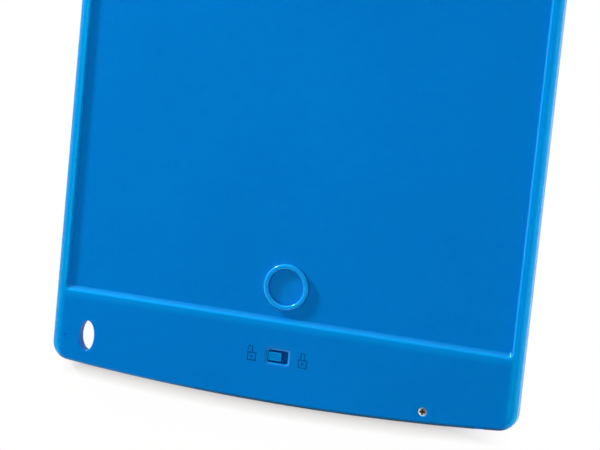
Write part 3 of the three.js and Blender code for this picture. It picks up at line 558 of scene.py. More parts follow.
# Padlock marks, engraved on both sides of the slot: open on the left, closed on the right
mark_y = lock_place.y - 0.9 * mm
mark_from_slot = 4.8 * mm
mark_half = Vector((1.45 * mm, 1.35 * mm, 0))
mark_line = 0.42 * mm
mark_depth = 0.4 * mm
keyhole_half = 0.35 * mm
shackle_half = 0.8 * mm
shackle_rise = 1.9 * mm
shackle_shift = 0.5 * mm
shackle_gap = 0.6 * mm


def stroke(name, x0, x1, y0, y1):
    """A block that cuts one line of a mark."""
    return box_slab(name, (x0, y0, back_z - mark_depth), (x1, y1, back_z + overrun))


def padlock(x, is_open):
    """A padlock in outline: body, keyhole and shackle, whose left leg is short where it is open."""
    body_top = mark_y + mark_half.y
    left, right = x - mark_half.x, x + mark_half.x
    low_y = mark_y - mark_half.y
    middle = x - shackle_shift if is_open else x
    leg_left, leg_right = middle - shackle_half, middle + shackle_half
    shackle_top = body_top + shackle_rise
    left_foot = body_top + shackle_gap if is_open else body_top - mark_line
    mark = stroke("mark", left, right, low_y, low_y + mark_line)
    strokes = [
        (left, right, body_top - mark_line, body_top),
        (left, left + mark_line, low_y, body_top),
        (right - mark_line, right, low_y, body_top),
        (x - keyhole_half, x + keyhole_half, mark_y - keyhole_half, mark_y + keyhole_half),
        (leg_left, leg_left + mark_line, left_foot, shackle_top),
        (leg_right - mark_line, leg_right, body_top - mark_line, shackle_top),
        (leg_left, leg_right, shackle_top - mark_line, shackle_top),
    ]
    for sides in strokes:
        carve(mark, stroke("stroke", *sides), "UNION")
    return mark


carve(cover, padlock(lock_place.x - slot_half.x - mark_from_slot, True))
carve(cover, padlock(lock_place.x + slot_half.x + mark_from_slot, False))

# Screw seat, nail notch over the battery tray, and the moulding pit beside the lanyard hole
screw_low, screw_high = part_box("tray_screw")
screw_place = Vector(((screw_low.x + screw_high.x) / 2, (screw_low.y + screw_high.y) / 2, 0))
head_radius = (screw_high.x - screw_low.x) / 2
seat_radius = head_radius + 0.15 * mm
shank_radius = 0.7 * mm
shank_bore = shank_radius + 0.15 * mm
cone_depth = 0.8 * mm
seat_rim = 0.15 * mm
boss_drop = 0.35 * mm
screw_boss_radius = 1.6 * mm
screw_boss = turned("screw_boss", [
    (0, band_under_z - boss_drop), (screw_boss_radius, band_under_z - boss_drop),
    (screw_boss_radius, band_under_z + weld), (0, band_under_z + weld),
], screw_place)
tray_low, tray_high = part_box("battery_tray")
tray_gap = 0.25 * mm
front_skin_z = 1 * mm
past_wall = 0.9 * mm
opening = ((tray_low.x - tray_gap, bottom_y - overrun, front_skin_z),
           (tray_high.x + tray_gap, bottom_y + bow + side_wall + past_wall, band_under_z))
carve(cover, box_slab("tray_opening", *opening))
carve(cover, screw_boss, "UNION")
carve(cover, turned("screw_seat", [
    (0, split_z), (shank_bore, split_z), (shank_bore, screw_high.z - cone_depth),
    (seat_radius, screw_high.z - seat_rim), (seat_radius, back_z + overrun), (0, back_z + overrun),
], screw_place))
notch_x = half_width - 10.5 * mm
notch_edge_y = bottom_y + bow * (notch_x / half_width) ** 2
notch_half = 1.4 * mm
notch_depth = 1.5 * mm
notch_reach = 0.7 * mm
notch_round = 0.6 * mm
notch = box_slab("notch", (notch_x - notch_half, bottom_y - overrun, back_z - notch_depth),
                 (notch_x + notch_half, notch_edge_y + notch_reach, back_z + overrun))
shape(notch, "EDGE", lambda edge: upright(edge) and place_of(edge)[0].y > bottom_y,
      bpy.ops.mesh.bevel, offset=notch_round, segments=4)
carve(cover, notch)
pit_radius = 0.4 * mm
pit_place = (-half_width + 4.6 * mm, bottom_y + 10.7 * mm, back_z + 0.05 * mm)
carve(cover, begin("pit", bpy.ops.mesh.primitive_uv_sphere_add, segments=20, ring_count=10,
                   radius=pit_radius, location=pit_place))

# Bosses for the screws of the circuit board
board_back_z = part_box("circuit_board")[1].z
board_boss_radius = 2.1 * mm
board_bore_radius = 0.85 * mm
board_bore_spare = 0.25 * mm
boss_top = band_under_z + weld
for node in ("board_screw_left", "board_screw_right"):
    low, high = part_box(node)
    board_screw = Vector(((low.x + high.x) / 2, (low.y + high.y) / 2, 0))
    carve(cover, turned("board_boss", [
        (0, board_back_z), (board_boss_radius, board_back_z), (board_boss_radius, boss_top),
        (0, boss_top)], board_screw), "UNION")
    bore_top = high.z + board_bore_spare
    carve(cover, turned("board_bore", [
        (0, split_z), (board_bore_radius, split_z), (board_bore_radius, bore_top),
        (0, bore_top)], board_screw))

# Stylus slot in the top edge with its two clips
stylus_opening = ((-slot_half_length, slot_y, -overrun),
                  (slot_half_length, top_y + overrun, 2 * back_z))
carve(cover, box_slab("stylus_slot", *stylus_opening))
clip_half_width = 2.5 * mm
jaw = 1.65 * mm
clip_wall = 0.6 * mm
stylus_low, stylus_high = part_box("stylus_barrel")
stylus_y = (stylus_low.y + stylus_high.y) / 2
stylus_z = (stylus_low.z + stylus_high.z) / 2
clip_reach = 0.8 * mm
clip_clearance = 0.2 * mm


def clip(x):
    """A C-shaped clip on the slot's wall, open to the outside, that grips the stylus's neck."""
    c = box_slab("clip", (x - clip_half_width, slot_y - weld, stylus_z - jaw - clip_wall),
                 (x + clip_half_width, stylus_y + clip_reach, stylus_z + jaw + clip_wall))
    carve(c, begin("grip", bpy.ops.mesh.primitive_cylinder_add, vertices=48, radius=jaw,
                   depth=6 * clip_half_width, location=(x, stylus_y, stylus_z),
                   rotation=(0, math.pi / 2, 0)))
    carve(c, box_slab("mouth", (x - 2 * clip_half_width, stylus_y, stylus_z - jaw),
                      (x + 2 * clip_half_width, top_y + overrun, stylus_z + jaw)))
    carve(c, box_slab("below", (x - 2 * clip_half_width, slot_y - overrun, 0),
                      (x + 2 * clip_half_width, slot_y + weld, split_z + clip_clearance)))
    return c


clip_place_x = 40 * mm
for clip_x in (-clip_place_x, clip_place_x):
    carve(cover, clip(clip_x), "UNION")

finish_surface(cover)


def mask(tree, place, zones):
    """A mask that is 1 inside any of the zones. A zone is a list of steps that all have to be
    passed. Each is a smooth rise between two values along an axis, or between two distances from a
    point. A step that also has a peak rises straight, and only that far."""
    parts = add_node(tree, "ShaderNodeSeparateXYZ", {"Vector": place})
    inside = 0.0
    for zone in zones:
        share = 1.0
        for along, low_end, high_end, *peak in zone:
            if isinstance(along, str):
                value = parts.outputs[along]
            else:
                value = add_node(tree, "ShaderNodeVectorMath", {
                    0: place, 1: along,
                }, operation="DISTANCE").outputs["Value"]
            rise = add_node(tree, "ShaderNodeMapRange", {
                "Value": value, "From Min": low_end, "From Max": high_end, "To Max": (*peak, 1.0)[0],
            }, interpolation_type="LINEAR" if peak else "SMOOTHSTEP")
            share = add_node(tree, "ShaderNodeMath", {
                0: share, 1: rise.outputs["Result"],
            }, operation="MULTIPLY").outputs[0]
        inside = add_node(tree, "ShaderNodeMath", {0: inside, 1: share}, operation="MAXIMUM").outputs[0]
    return inside


def coloured(tree, place, colour, others):
    """The base colour, with each of the other colours over it in its own zones."""
    base = linear(colour)
    for zones, other in others:
        base = add_node(tree, "ShaderNodeMix", {
            "Factor": mask(tree, place, zones), 6: base, 7: linear(other),
        }, data_type="RGBA").outputs[2]
    return base


def toothed(tree, place, grain, detail, depth, least_rough, most_rough):
    """A noise of the grain's size, and the roughness and the relief that it gives the surface."""
    tooth = add_node(tree, "ShaderNodeTexNoise", {
        "Vector": place, "Scale": 1 / grain, "Detail": detail, "Roughness": 0.6,
    })
    gloss = add_node(tree, "ShaderNodeMapRange", {
        "Value": tooth.outputs["Fac"], "From Min": 0.3, "From Max": 0.7,
        "To Min": least_rough, "To Max": most_rough,
    })
    relief = add_node(tree, "ShaderNodeBump", {
        "Height": tooth.outputs["Fac"], "Distance": depth, "Strength": 0.6,
    })
    return tooth.outputs["Fac"], {
        "Roughness": gloss.outputs["Result"], "Normal": relief.outputs["Normal"],
    }


mould_grain = 0.35 * mm
mould_depth = 0.004 * mm


def moulded_abs(name, colour, roughness=0.2, others=(), polished=()):
    """ABS from a polished mould: an even satin gloss that breaks up slightly over a fine grain, and
    a colour that drifts by a trace where the melt flowed. Zones can have another colour, or the
    higher gloss that the mould's inserts leave."""
    material, tree = material_tree(name)
    place = add_node(tree, "ShaderNodeTexCoord").outputs["Object"]
    flow = add_node(tree, "ShaderNodeTexNoise", {
        "Vector": place, "Scale": 1 / (60 * mm), "Detail": 2.0, "Roughness": 0.5,
    })
    tint = add_node(tree, "ShaderNodeMapRange", {
        "Value": flow.outputs["Fac"], "From Min": 0.3, "From Max": 0.7, "To Min": 0.97, "To Max": 1.03,
    })
    shade = add_node(tree, "ShaderNodeHueSaturation", {
        "Color": coloured(tree, place, colour, others), "Value": tint.outputs["Result"],
    })
    coat = 0.03
    if polished:
        coat = add_node(tree, "ShaderNodeMapRange", {
            "Value": mask(tree, place, polished), "To Min": coat, "To Max": 0.35,
        }).outputs["Result"]
    tooth, finish = toothed(tree, place, mould_grain, 3.0, mould_depth,
                            roughness - 0.03, roughness + 0.03)
    plastic = add_node(tree, "ShaderNodeBsdfPrincipled", {
        "Base Color": shade.outputs["Color"], "IOR": 1.54, "Specular IOR Level": 0.45,
        "Specular Tint": linear("#30E0FF"), "Subsurface Weight": 0.8,
        "Subsurface Radius": (0.3, 0.8, 1.0), "Subsurface Scale": 1.6 * mm,
        "Coat Weight": coat, "Coat Roughness": 0.12, **finish,
    })
    add_node(tree, "ShaderNodeOutputMaterial", {"Surface": plastic.outputs["BSDF"]})
    return material


def clad(piece, material):
    """Gives a modelled piece its material, in place of the empty slots that its tools left."""
    piece.data.materials.clear()
    piece.data.materials.append(material)


def stand_for(piece, node, body):
    """The piece rides on the body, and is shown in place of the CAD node."""
    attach(piece, body)
    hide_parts(node)


# Zones of the cover whose gloss or colour differs, as steps for the mask; the colours are painted light
# and shade
above_panel = ("Z", panel_z - 0.1 * mm, panel_z + 0.5 * mm)
near_ring = ((0, ring_y, back_z), ring_outer + 2 * mm, ring_outer + 1 * mm)
near_slot = ((lock_place.x, lock_place.y, back_z), 5.8 * mm, 4.8 * mm)
# Painted light: the raised forms, the rims, the ring and the step's edge, are painted paler, standing in
# for light that passes through them
rim_foot = half_width - 1.2 * rim_width
rim_middle = half_width - 0.6 * rim_width
painted_light_on_ridges = [
    [("X", -rim_foot, -rim_middle), above_panel],
    [("X", rim_foot, rim_middle), above_panel],
    [near_ring, above_panel],
    [("Y", step_y - 2.6 * mm, step_y, 0.8), ("Z", panel_z + 0.3 * mm, back_z - 0.1 * mm)],
]
# Painted light, paler still, on the left rim's inner wall and the right rim's outer half, standing in for
# light that comes through from behind
painted_light_on_walls = [
    [("X", 3.8 * mm - half_width, 3.3 * mm - half_width),
     ("X", 2.3 * mm - half_width, 2.9 * mm - half_width),
     ("Y", step_y + 1 * mm, step_y + 4 * mm), ("Z", panel_z, panel_z + 0.5 * mm)],
    [("X", half_width - 2.2 * mm, half_width - 1.2 * mm, 0.35)],
]
# Painted light: the left side is painted a greener blue, where it washes out under the lamp
painted_lamp_side = [[("X", 2.2 * mm - half_width, 0.9 * mm - half_width)]]
# The lower part of the bottom edge's round sees only the table's shadow
bottom_shade = [[
    ((0, bow_centre_y, back_z), bow_radius - 1.2 * mm, bow_radius - 0.5 * mm),
    ("X", -45 * mm, -10 * mm), ("Z", back_z - 1.3 * mm, back_z - 0.9 * mm),
]]
# The bottoms of the two padlock marks are painted darker: painted shade in the engraving
marks_y = mark_y + 1 * mm
beside_slot = slot_half.x + edge_reach + 0.6 * mm
engraved = [[
    ("X", lock_place.x + side * beside_slot, lock_place.x + side * (beside_slot + 0.1 * mm)),
    ("X", lock_place.x + side * 11 * mm, lock_place.x + side * 10.5 * mm),
    ("Y", marks_y - 4.5 * mm, marks_y - 4 * mm), ("Y", marks_y + 4.5 * mm, marks_y + 4 * mm),
    ("Z", back_z - 0.05 * mm, back_z - 0.15 * mm),
] for side in (-1, 1)]
clad(cover, moulded_abs("blue_abs_moulded", "#0080D3", polished=[[near_ring], [near_slot]], others=[
    (painted_light_on_ridges, "#009FE8"), (painted_light_on_walls, "#00B8FF"), (painted_lamp_side, "#0082C2"),
    (bottom_shade, "#003A70"), (engraved, "#006CBC")]))
stand_for(cover, "back_cover", "housing")

# Front frame
# The shell on the screen side, of the same blue ABS: a face plate with rounded edges round the
# window, the hole of the erase button, and a lip that locates it inside the back cover.
front_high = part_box("front_frame")[1]
front_edge_round = 0.5 * mm
lip_gap = 0.2 * mm
lip_wall = 0.7 * mm
lip_inset = side_wall + lip_gap
tape_low, tape_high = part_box("film_tape")
tape_margin = 4 * mm
window_low = tape_low + Vector((tape_margin, tape_margin, 0))
window_high = tape_high - Vector((tape_margin, tape_margin, 0))
window_corner = 2 * mm
window_round = 0.4 * mm
button_low, button_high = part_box("erase_button")
button_y = (button_low.y + button_high.y) / 2
button_radius = 6 * mm
button_hole_radius = button_radius + 0.3 * mm


def clear_of_slot(name, inset, z0, z1):
    """An outline slab that also stays clear of the stylus slot."""
    slab = outline_slab(name, inset, z0, z1)
    carve(slab, box_slab("slot_side", (-half_width, slot_y - inset, z0 - overrun),
                         (half_width, top_y, z1 + overrun)))
    return slab


front = outline_slab("front_frame_shell", 0, 0, split_z)
shape(front, "EDGE", level(0), bpy.ops.mesh.bevel, offset=front_edge_round, segments=5)
shape(front, "EDGE", level(split_z), bpy.ops.mesh.bevel, offset=parting_round, segments=2)
carve(front, clear_of_slot("lip", lip_inset, split_z - weld, front_high.z), "UNION")
carve(front, clear_of_slot("inside", lip_inset + lip_wall, front_skin_z, back_z))
hole_grow = 0.8 * mm
boss_grow = hole_grow + boss_wall
carve(front, oval("boss", hole_place, hole_half_width + boss_grow, hole_half_length + boss_grow,
                  front_skin_z - weld, split_z), "UNION")
carve(front, box_slab("window", (window_low.x, window_low.y, -overrun),
                      (window_high.x, window_high.y, back_z), window_corner))


def on_window_edge(edge):
    """The window's edges on the outer face."""
    return level(0)(edge) and all(
        abs(c.x) < window_high.x + window_round / 2
        and window_low.y - window_round / 2 < c.y < window_high.y + window_round / 2
        for c in place_of(edge))


shape(front, "EDGE", on_window_edge, bpy.ops.mesh.bevel, offset=window_round, segments=4)
carve(front, begin("button_hole", bpy.ops.mesh.primitive_cylinder_add, vertices=96,
                   radius=button_hole_radius, depth=2 * back_z, location=(0, button_y, 0)))
carve(front, oval("hole", hole_place, hole_half_width + hole_grow, hole_half_length + hole_grow,
                  -overrun, back_z))
carve(front, box_slab("tray_opening", *opening))
carve(front, box_slab("stylus_slot", *stylus_opening))
finish_surface(front)
clad(front, moulded_abs("blue_abs_front", "#0080D6"))
stand_for(front, "front_frame", "housing")

# Screen stack
# The screen is two clear films with a thin dark liquid crystal layer between them, held to the
# frame by white double-sided tape and backed by a black film and a sheet of closed-cell foam.


def paint(material, *nodes):
    """Puts a material on CAD nodes whose shape is right as it is."""
    for node in nodes:
        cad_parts[node].material_slots[0].material = material


def grained(name, colour, roughness, grain, depth, spread=0.06, **extra):
    """A material whose colour and gloss vary over an even grain, raised by a given depth."""
    material, tree = material_tree(name)
    place = add_node(tree, "ShaderNodeTexCoord").outputs["Object"]
    tooth, finish = toothed(tree, place, grain, 4.0, depth,
                            roughness * 0.88, min(1.0, roughness * 1.12))
    tint = add_node(tree, "ShaderNodeMapRange", {
        "Value": tooth, "From Min": 0.3, "From Max": 0.7, "To Min": 1 - spread, "To Max": 1 + spread,
    })
    shade = add_node(tree, "ShaderNodeHueSaturation", {
        "Color": linear(colour), "Value": tint.outputs["Result"],
    })
    surface = add_node(tree, "ShaderNodeBsdfPrincipled", {
        "Base Color": shade.outputs["Color"], **finish, **extra,
    })
    add_node(tree, "ShaderNodeOutputMaterial", {"Surface": surface.outputs["BSDF"]})
    return material


# Polished film over a dark green-grey layer: the clear coat gives the mirror gloss
paint(grained("pet_film_over_liquid_crystal", "#1B2624", 0.3, 0.9 * mm, 0.0004 * mm, 0.1, **{
    "Coat Weight": 1.0, "Coat Roughness": 0.05, "Coat IOR": 1.58,
}), "lcd_front_film")
# Black print on the rear film: near matt, with the print's fine tooth
paint(grained("black_coated_pet", "#0B0C0D", 0.5, 0.15 * mm, 0.002 * mm), "lcd_rear_film")
# Tissue tape: soft white with a fibrous tooth
paint(grained("tissue_tape", "#DEDDD6", 0.75, 0.4 * mm, 0.01 * mm), "film_tape")
# Foam: dull dark grey, coarse with its cells
paint(grained("closed_cell_foam", "#2B2D30", 0.95, 0.5 * mm, 0.05 * mm, 0.25), "backing_sheet")

# Erase button
# A round push button in the frame's face, moulded in the same blue: a dished face with a soft
# edge, a flange that keeps it in its hole, and a boss that presses the switch.
flange_radius = button_high.x
flange_top_z = button_high.z
flange_thickness = 0.3 * mm
button_edge = 0.35 * mm
button_face_z = button_low.z
dish_flat = 2.6 * mm
dish_reach = 4.6 * mm
dish_rise = 0.2 * mm
dish_ease = 0.6 * mm
skirt = 0.8 * mm
skin = 0.6 * mm
boss_radius = 1.2 * mm
button = turned("erase_button_cap", [
    (0, button_face_z + dish_rise), (dish_flat, button_face_z + dish_rise),
    (dish_flat + dish_ease, button_face_z + 0.85 * dish_rise),
    ((dish_flat + dish_reach) / 2, button_face_z + dish_rise / 2),
    (dish_reach - dish_ease, button_face_z + 0.15 * dish_rise), (dish_reach, button_face_z),
    *curve((button_radius - button_edge, button_face_z + button_edge), button_edge, -90, 0),
    (button_radius, flange_top_z - flange_thickness), (flange_radius, flange_top_z - flange_thickness),
    (flange_radius, flange_top_z), (button_radius - skirt, flange_top_z),
    (button_radius - skirt, button_face_z + skin), (boss_radius, button_face_z + skin),
    (boss_radius, flange_top_z), (0, flange_top_z),
], (0, button_y, 0), 96)
finish_surface(button)
clad(button, moulded_abs("blue_abs_button", "#1187E0", roughness=0.3))
stand_for(button, "erase_button", "erase_key")

# Lock knob
# The small slider in the slot, moulded in a paler blue: a block with a raised border and a fine
# grid of ribs for the finger nail, on a flange that closes the slot from inside.
flange_low, flange_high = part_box("lock_knob")
lever_low, lever_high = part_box("lock_switch_lever")
knob_half = Vector((2 * mm, 1.25 * mm, 0))
knob_place = Vector(((lever_low.x + lever_high.x) / 2, (lever_low.y + lever_high.y) / 2, 0))
knob_low = knob_place - knob_half + Vector((0, 0, flange_low.z))
knob_high = knob_place + knob_half + Vector((0, 0, flange_high.z))
knob_flange = 0.3 * mm
rib_depth = 0.2 * mm
rib_width = 0.2 * mm
border_width = 0.34 * mm
rib_sink = 0.04 * mm
rib_weld = 0.1 * mm
lever_gap = 0.25 * mm
lever_spare = 0.05 * mm
knob_corner = 0.25 * mm
knob_edge = 0.12 * mm
flange_corner = 0.5 * mm
knob = box_slab("lock_knob_cap", knob_low, knob_high)
shape(knob, "EDGE", upright, bpy.ops.mesh.bevel, offset=knob_corner, segments=5)
shape(knob, "EDGE", level(knob_high.z), bpy.ops.mesh.bevel, offset=knob_edge, segments=3)
well_low = Vector((knob_low.x + border_width, knob_low.y + border_width, knob_high.z - rib_depth))
well_high = Vector((knob_high.x - border_width, knob_high.y - border_width, back_z))
carve(knob, box_slab("well", well_low, well_high))
for axis, count in ((0, 4), (1, 3)):
    pitch = (well_high[axis] - well_low[axis]) / (count + 1)
    for i in range(count):
        low_end = well_low - Vector((rib_weld, rib_weld, rib_weld))
        high_end = well_high + Vector((rib_weld, rib_weld, 0))
        high_end.z = knob_high.z - rib_sink
        middle = well_low[axis] + (i + 1) * pitch
        low_end[axis] = middle - rib_width / 2
        high_end[axis] = middle + rib_width / 2
        carve(knob, box_slab("rib", low_end, high_end), "UNION")
flange_top = (flange_high.x, flange_high.y, flange_low.z + knob_flange)
carve(knob, box_slab("knob_flange", flange_low, flange_top, flange_corner), "UNION")
carve(knob, box_slab("socket", (lever_low.x - lever_gap, lever_low.y - lever_gap, 0), (
    lever_high.x + lever_gap, lever_high.y + lever_gap, lever_high.z + lever_spare)))
finish_surface(knob)
# The flange lies in the dark of the slot
lit_depth = 0.25 * mm
shade_reach = 0.2 * mm
flange_part = [[("Z", knob_high.z - lit_depth, knob_high.z - lit_depth - shade_reach)]]
clad(knob, moulded_abs("blue_abs_knob", "#0492E4", others=[(flange_part, "#004A96")]))
stand_for(knob, "lock_knob", "lock_slider")

# Battery tray
# The drawer in the bottom edge: its face follows the bowed edge, and its floor has a round pocket
# with a push hole for the coin cell. The same ABS, a shade darker inside.
cell_low, cell_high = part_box("cell_can")
cell_place = Vector(((cell_low.x + cell_high.x) / 2, (cell_low.y + cell_high.y) / 2, 0))
cell_radius = cell_high.x - cell_place.x
cell_clearance = 0.3 * mm
pocket_radius = cell_radius + cell_clearance
push_hole_radius = 4 * mm
cap_high_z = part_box("cell_cap")[1].z
tray_floor = 0.5 * mm
tray_edge = 0.15 * mm
tray_floor_z = cell_low.z - tray_floor
tray_span = ((tray_low.x, bottom_y - overrun, 0), (tray_high.x, tray_high.y, back_z))
tray = outline_slab("battery_tray_drawer", 0, tray_low.z, tray_high.z)
for height_z in (tray_low.z, tray_high.z):
    shape(tray, "EDGE", level(height_z), bpy.ops.mesh.bevel, offset=tray_edge, segments=3)
carve(tray, outline_slab("behind_face", side_wall, 0, back_z))
carve(tray, box_slab("span", *tray_span), "INTERSECT")
pan = outline_slab("pan", side_wall / 2, tray_floor_z, cap_high_z)
carve(pan, box_slab("span", *tray_span), "INTERSECT")
carve(tray, pan, "UNION")
carve(tray, turned("pocket", [(0, cell_low.z), (pocket_radius, cell_low.z), (pocket_radius, back_z),
                              (0, back_z)], cell_place, 96))
carve(tray, turned("push_hole", [(0, 0), (push_hole_radius, 0), (push_hole_radius, back_z),
                                 (0, back_z)], cell_place, 64))
finish_surface(tray)
clad(tray, moulded_abs("blue_abs_tray", "#0076CE", roughness=0.38))
stand_for(tray, "battery_tray", "cell_drawer")

# Coin cell
# A 20 mm lithium cell: a nickel-plated steel can crimped over a nylon gasket, and the smaller cap
# on the side of the spring contact. Both are brushed, the cap in straight lines.


def brushed_metal(name, colour, roughness, stretch, centre=(0, 0, 0), around=False, others=()):
    """Metal with fine brush lines, straight along X or, for a turned face, round its centre."""
    material, tree = material_tree(name)
    place = add_node(tree, "ShaderNodeTexCoord").outputs["Object"]
    lines_from = add_node(tree, "ShaderNodeVectorMath", {
        0: place, 1: tuple(centre),
    }, operation="SUBTRACT").outputs["Vector"]
    factor = (stretch, 1.0, 1.0)
    if around:
        reach = add_node(tree, "ShaderNodeVectorMath", {0: lines_from}, operation="LENGTH")
        lines_from = add_node(tree, "ShaderNodeCombineXYZ", {
            "X": reach.outputs["Value"],
        }).outputs["Vector"]
        factor = (1.0, 0.0, 0.0)
    squeezed = add_node(tree, "ShaderNodeVectorMath", {0: lines_from, 1: factor}, operation="MULTIPLY")
    lines = add_node(tree, "ShaderNodeTexNoise", {
        "Vector": squeezed.outputs["Vector"], "Scale": 1 / (0.12 * mm), "Detail": 3.0, "Roughness": 0.7,
    })
    gloss = add_node(tree, "ShaderNodeMapRange", {
        "Value": lines.outputs["Fac"], "From Min": 0.3, "From Max": 0.7,
        "To Min": roughness - 0.06, "To Max": roughness + 0.1,
    })
    relief = add_node(tree, "ShaderNodeBump", {
        "Height": lines.outputs["Fac"], "Distance": 0.003 * mm, "Strength": 0.5,
    })
    surface = add_node(tree, "ShaderNodeBsdfPrincipled", {
        "Base Color": coloured(tree, place, colour, others), "Metallic": 1.0,
        "Roughness": gloss.outputs["Result"], "Normal": relief.outputs["Normal"],
    })
    add_node(tree, "ShaderNodeOutputMaterial", {"Surface": surface.outputs["BSDF"]})
    return material


can_wall = 0.3 * mm
can_round = 0.35 * mm
crimp_round = 0.14 * mm
can = turned("coin_cell_can", [
    (0, cell_low.z), *curve((cell_radius - can_round, cell_low.z + can_round), can_round, -90, 0),
    *curve((cell_radius - crimp_round, cell_high.z - crimp_round), crimp_round, 0, 90),
    (cell_radius - can_wall, cell_high.z), (cell_radius - can_wall, cell_low.z + can_wall),
    (0, cell_low.z + can_wall),
], cell_place, 96)
finish_surface(can)
clad(can, brushed_metal("nickel_plated_can", "#B9BBBD", 0.28, 1.0, cell_place, around=True))
stand_for(can, "cell_can", "cell_drawer")
cap_low, cap_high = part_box("cell_cap")
cap_radius = cap_high.x - cell_place.x
cap_round = 0.3 * mm
cap = turned("coin_cell_cap", [
    (0, cap_low.z), (cap_radius, cap_low.z),
    *curve((cap_radius - cap_round, cap_high.z - cap_round), cap_round, 0, 90), (0, cap_high.z),
], cell_place, 96)
finish_surface(cap)
clad(cap, brushed_metal("nickel_plated_cap", "#C2C3C4", 0.25, 0.04, cell_place))
stand_for(cap, "cell_cap", "cell_drawer")
# Clear nylon ring between them: milky, with a soft gloss
paint(grained("natural_nylon", "#D4D7D8", 0.45, 0.4 * mm, 0.003 * mm, 0.04, **{
    "Transmission Weight": 0.3, "IOR": 1.53,
}), "cell_gasket")

# Tray screw
# The bright countersunk screw beside the tray: nickel-plated steel with a domed face, a cross recess
# browned by its threadlock, and a coarse thread under the head.
shank_tip_z = screw_low.z
head_under_z = screw_high.z - 0.65 * mm
dome_rise = 0.28 * mm
rim_height = 0.1 * mm
rim_z = screw_high.z - dome_rise - rim_height
dome_radius = (head_radius ** 2 + dome_rise ** 2) / (2 * dome_rise)
dome_edge = math.degrees(math.asin(head_radius / dome_radius))
thread_pitch = 0.35 * mm
thread_root = shank_radius - 0.12 * mm
plain_neck = 0.1 * mm
screw = turned("tray_screw_body", [
    (0, shank_tip_z), (thread_root, shank_tip_z),
    (shank_radius, shank_tip_z + 0.35 * thread_pitch), (thread_root, shank_tip_z + 0.7 * thread_pitch),
    (shank_radius, head_under_z - plain_neck), (shank_radius, head_under_z),
    (head_radius, rim_z), *curve((0, screw_high.z - dome_radius), dome_radius, 90 - dome_edge, 90, 8),
], screw_place, 48)
cross_half_length = 0.9 * mm
cross_half_width = 0.24 * mm
cross_depth = 0.4 * mm
for half_x, half_y in ((cross_half_length, cross_half_width), (cross_half_width, cross_half_length)):
    reach = Vector((half_x, half_y, 0))
    carve(screw, box_slab("cross", screw_place - reach + Vector((0, 0, screw_high.z - cross_depth)),
                          screw_place + reach + Vector((0, 0, back_z))))
finish_surface(screw)
in_cross = [[("Z", rim_z + rim_height, rim_z)]]
clad(screw, brushed_metal("nickel_plated_screw", "#E6E6E6", 0.3, 1.0, screw_place, around=True,
                          others=[(in_cross, "#7A4B38")]))
stand_for(screw, "tray_screw", "drawer_screw")

# Stylus
# A plain black ABS pen along the top edge: a turned barrel with two necks for the clips, a cone
# with a small round nose on the left, and a plug with a rounded end on the right.
tip_low, tip_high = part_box("stylus_tip")
end_low, end_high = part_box("stylus_end_cap")
stylus_place = Vector((0, stylus_y, stylus_z))
stylus_radius = (stylus_high.y - stylus_low.y) / 2
neck_radius = 1.5 * mm
neck_slope = stylus_radius - neck_radius
neck_half = clip_half_width + 0.4 * mm
stem_radius = 1.1 * mm
stem_length = 3 * mm
stem_gap = 0.2 * mm
socket_radius = stem_radius + stem_gap
nose_round = 0.6 * mm
plug_round = 0.8 * mm
rim_chamfer = 0.12 * mm


def neck(x):
    return [(stylus_radius, x - neck_half - neck_slope), (neck_radius, x - neck_half),
            (neck_radius, x + neck_half), (stylus_radius, x + neck_half + neck_slope)]


barrel = turned("stylus_barrel_tube", [
    (0, stylus_low.x + stem_length + stem_gap), (socket_radius, stylus_low.x + stem_length + stem_gap),
    (socket_radius, stylus_low.x), (stylus_radius - rim_chamfer, stylus_low.x),
    (stylus_radius, stylus_low.x + rim_chamfer),
    *neck(-clip_place_x), *neck(clip_place_x),
    (stylus_radius, stylus_high.x - rim_chamfer), (stylus_radius - rim_chamfer, stylus_high.x),
    (socket_radius, stylus_high.x), (socket_radius, stylus_high.x - stem_length - stem_gap),
    (0, stylus_high.x - stem_length - stem_gap),
], stylus_place, 64, along_x=True)
cone_foot_x = tip_high.x - stem_length
tip = turned("stylus_tip_cone", [
    *[(max(0.0, r), x) for x, r in curve((tip_low.x + nose_round, 0), nose_round, 180, 90)],
    (stylus_radius - rim_chamfer, cone_foot_x - 1.5 * rim_chamfer),
    (stylus_radius - rim_chamfer, cone_foot_x),
    (stem_radius, cone_foot_x), (stem_radius, tip_high.x), (0, tip_high.x),
], stylus_place, 64, along_x=True)
plug_shoulder_x = end_low.x + stem_length
end_plug = turned("stylus_end_plug", [
    (0, end_low.x), (stem_radius, end_low.x), (stem_radius, plug_shoulder_x),
    (stylus_radius - rim_chamfer, plug_shoulder_x), (stylus_radius, plug_shoulder_x + rim_chamfer),
    *[(r, x) for x, r in curve((end_high.x - plug_round, stylus_radius - plug_round), plug_round, 90, 0)],
    (0, end_high.x),
], stylus_place, 64, along_x=True)
# Black ABS with the mould's fine grain: a dull satin sheen
for piece, node in ((barrel, "stylus_barrel"), (tip, "stylus_tip"), (end_plug, "stylus_end_cap")):
    finish_surface(piece)
    clad(piece, grained("black_abs_" + node, "#141517", 0.4, mould_grain, mould_depth))
    stand_for(piece, node, "stylus")

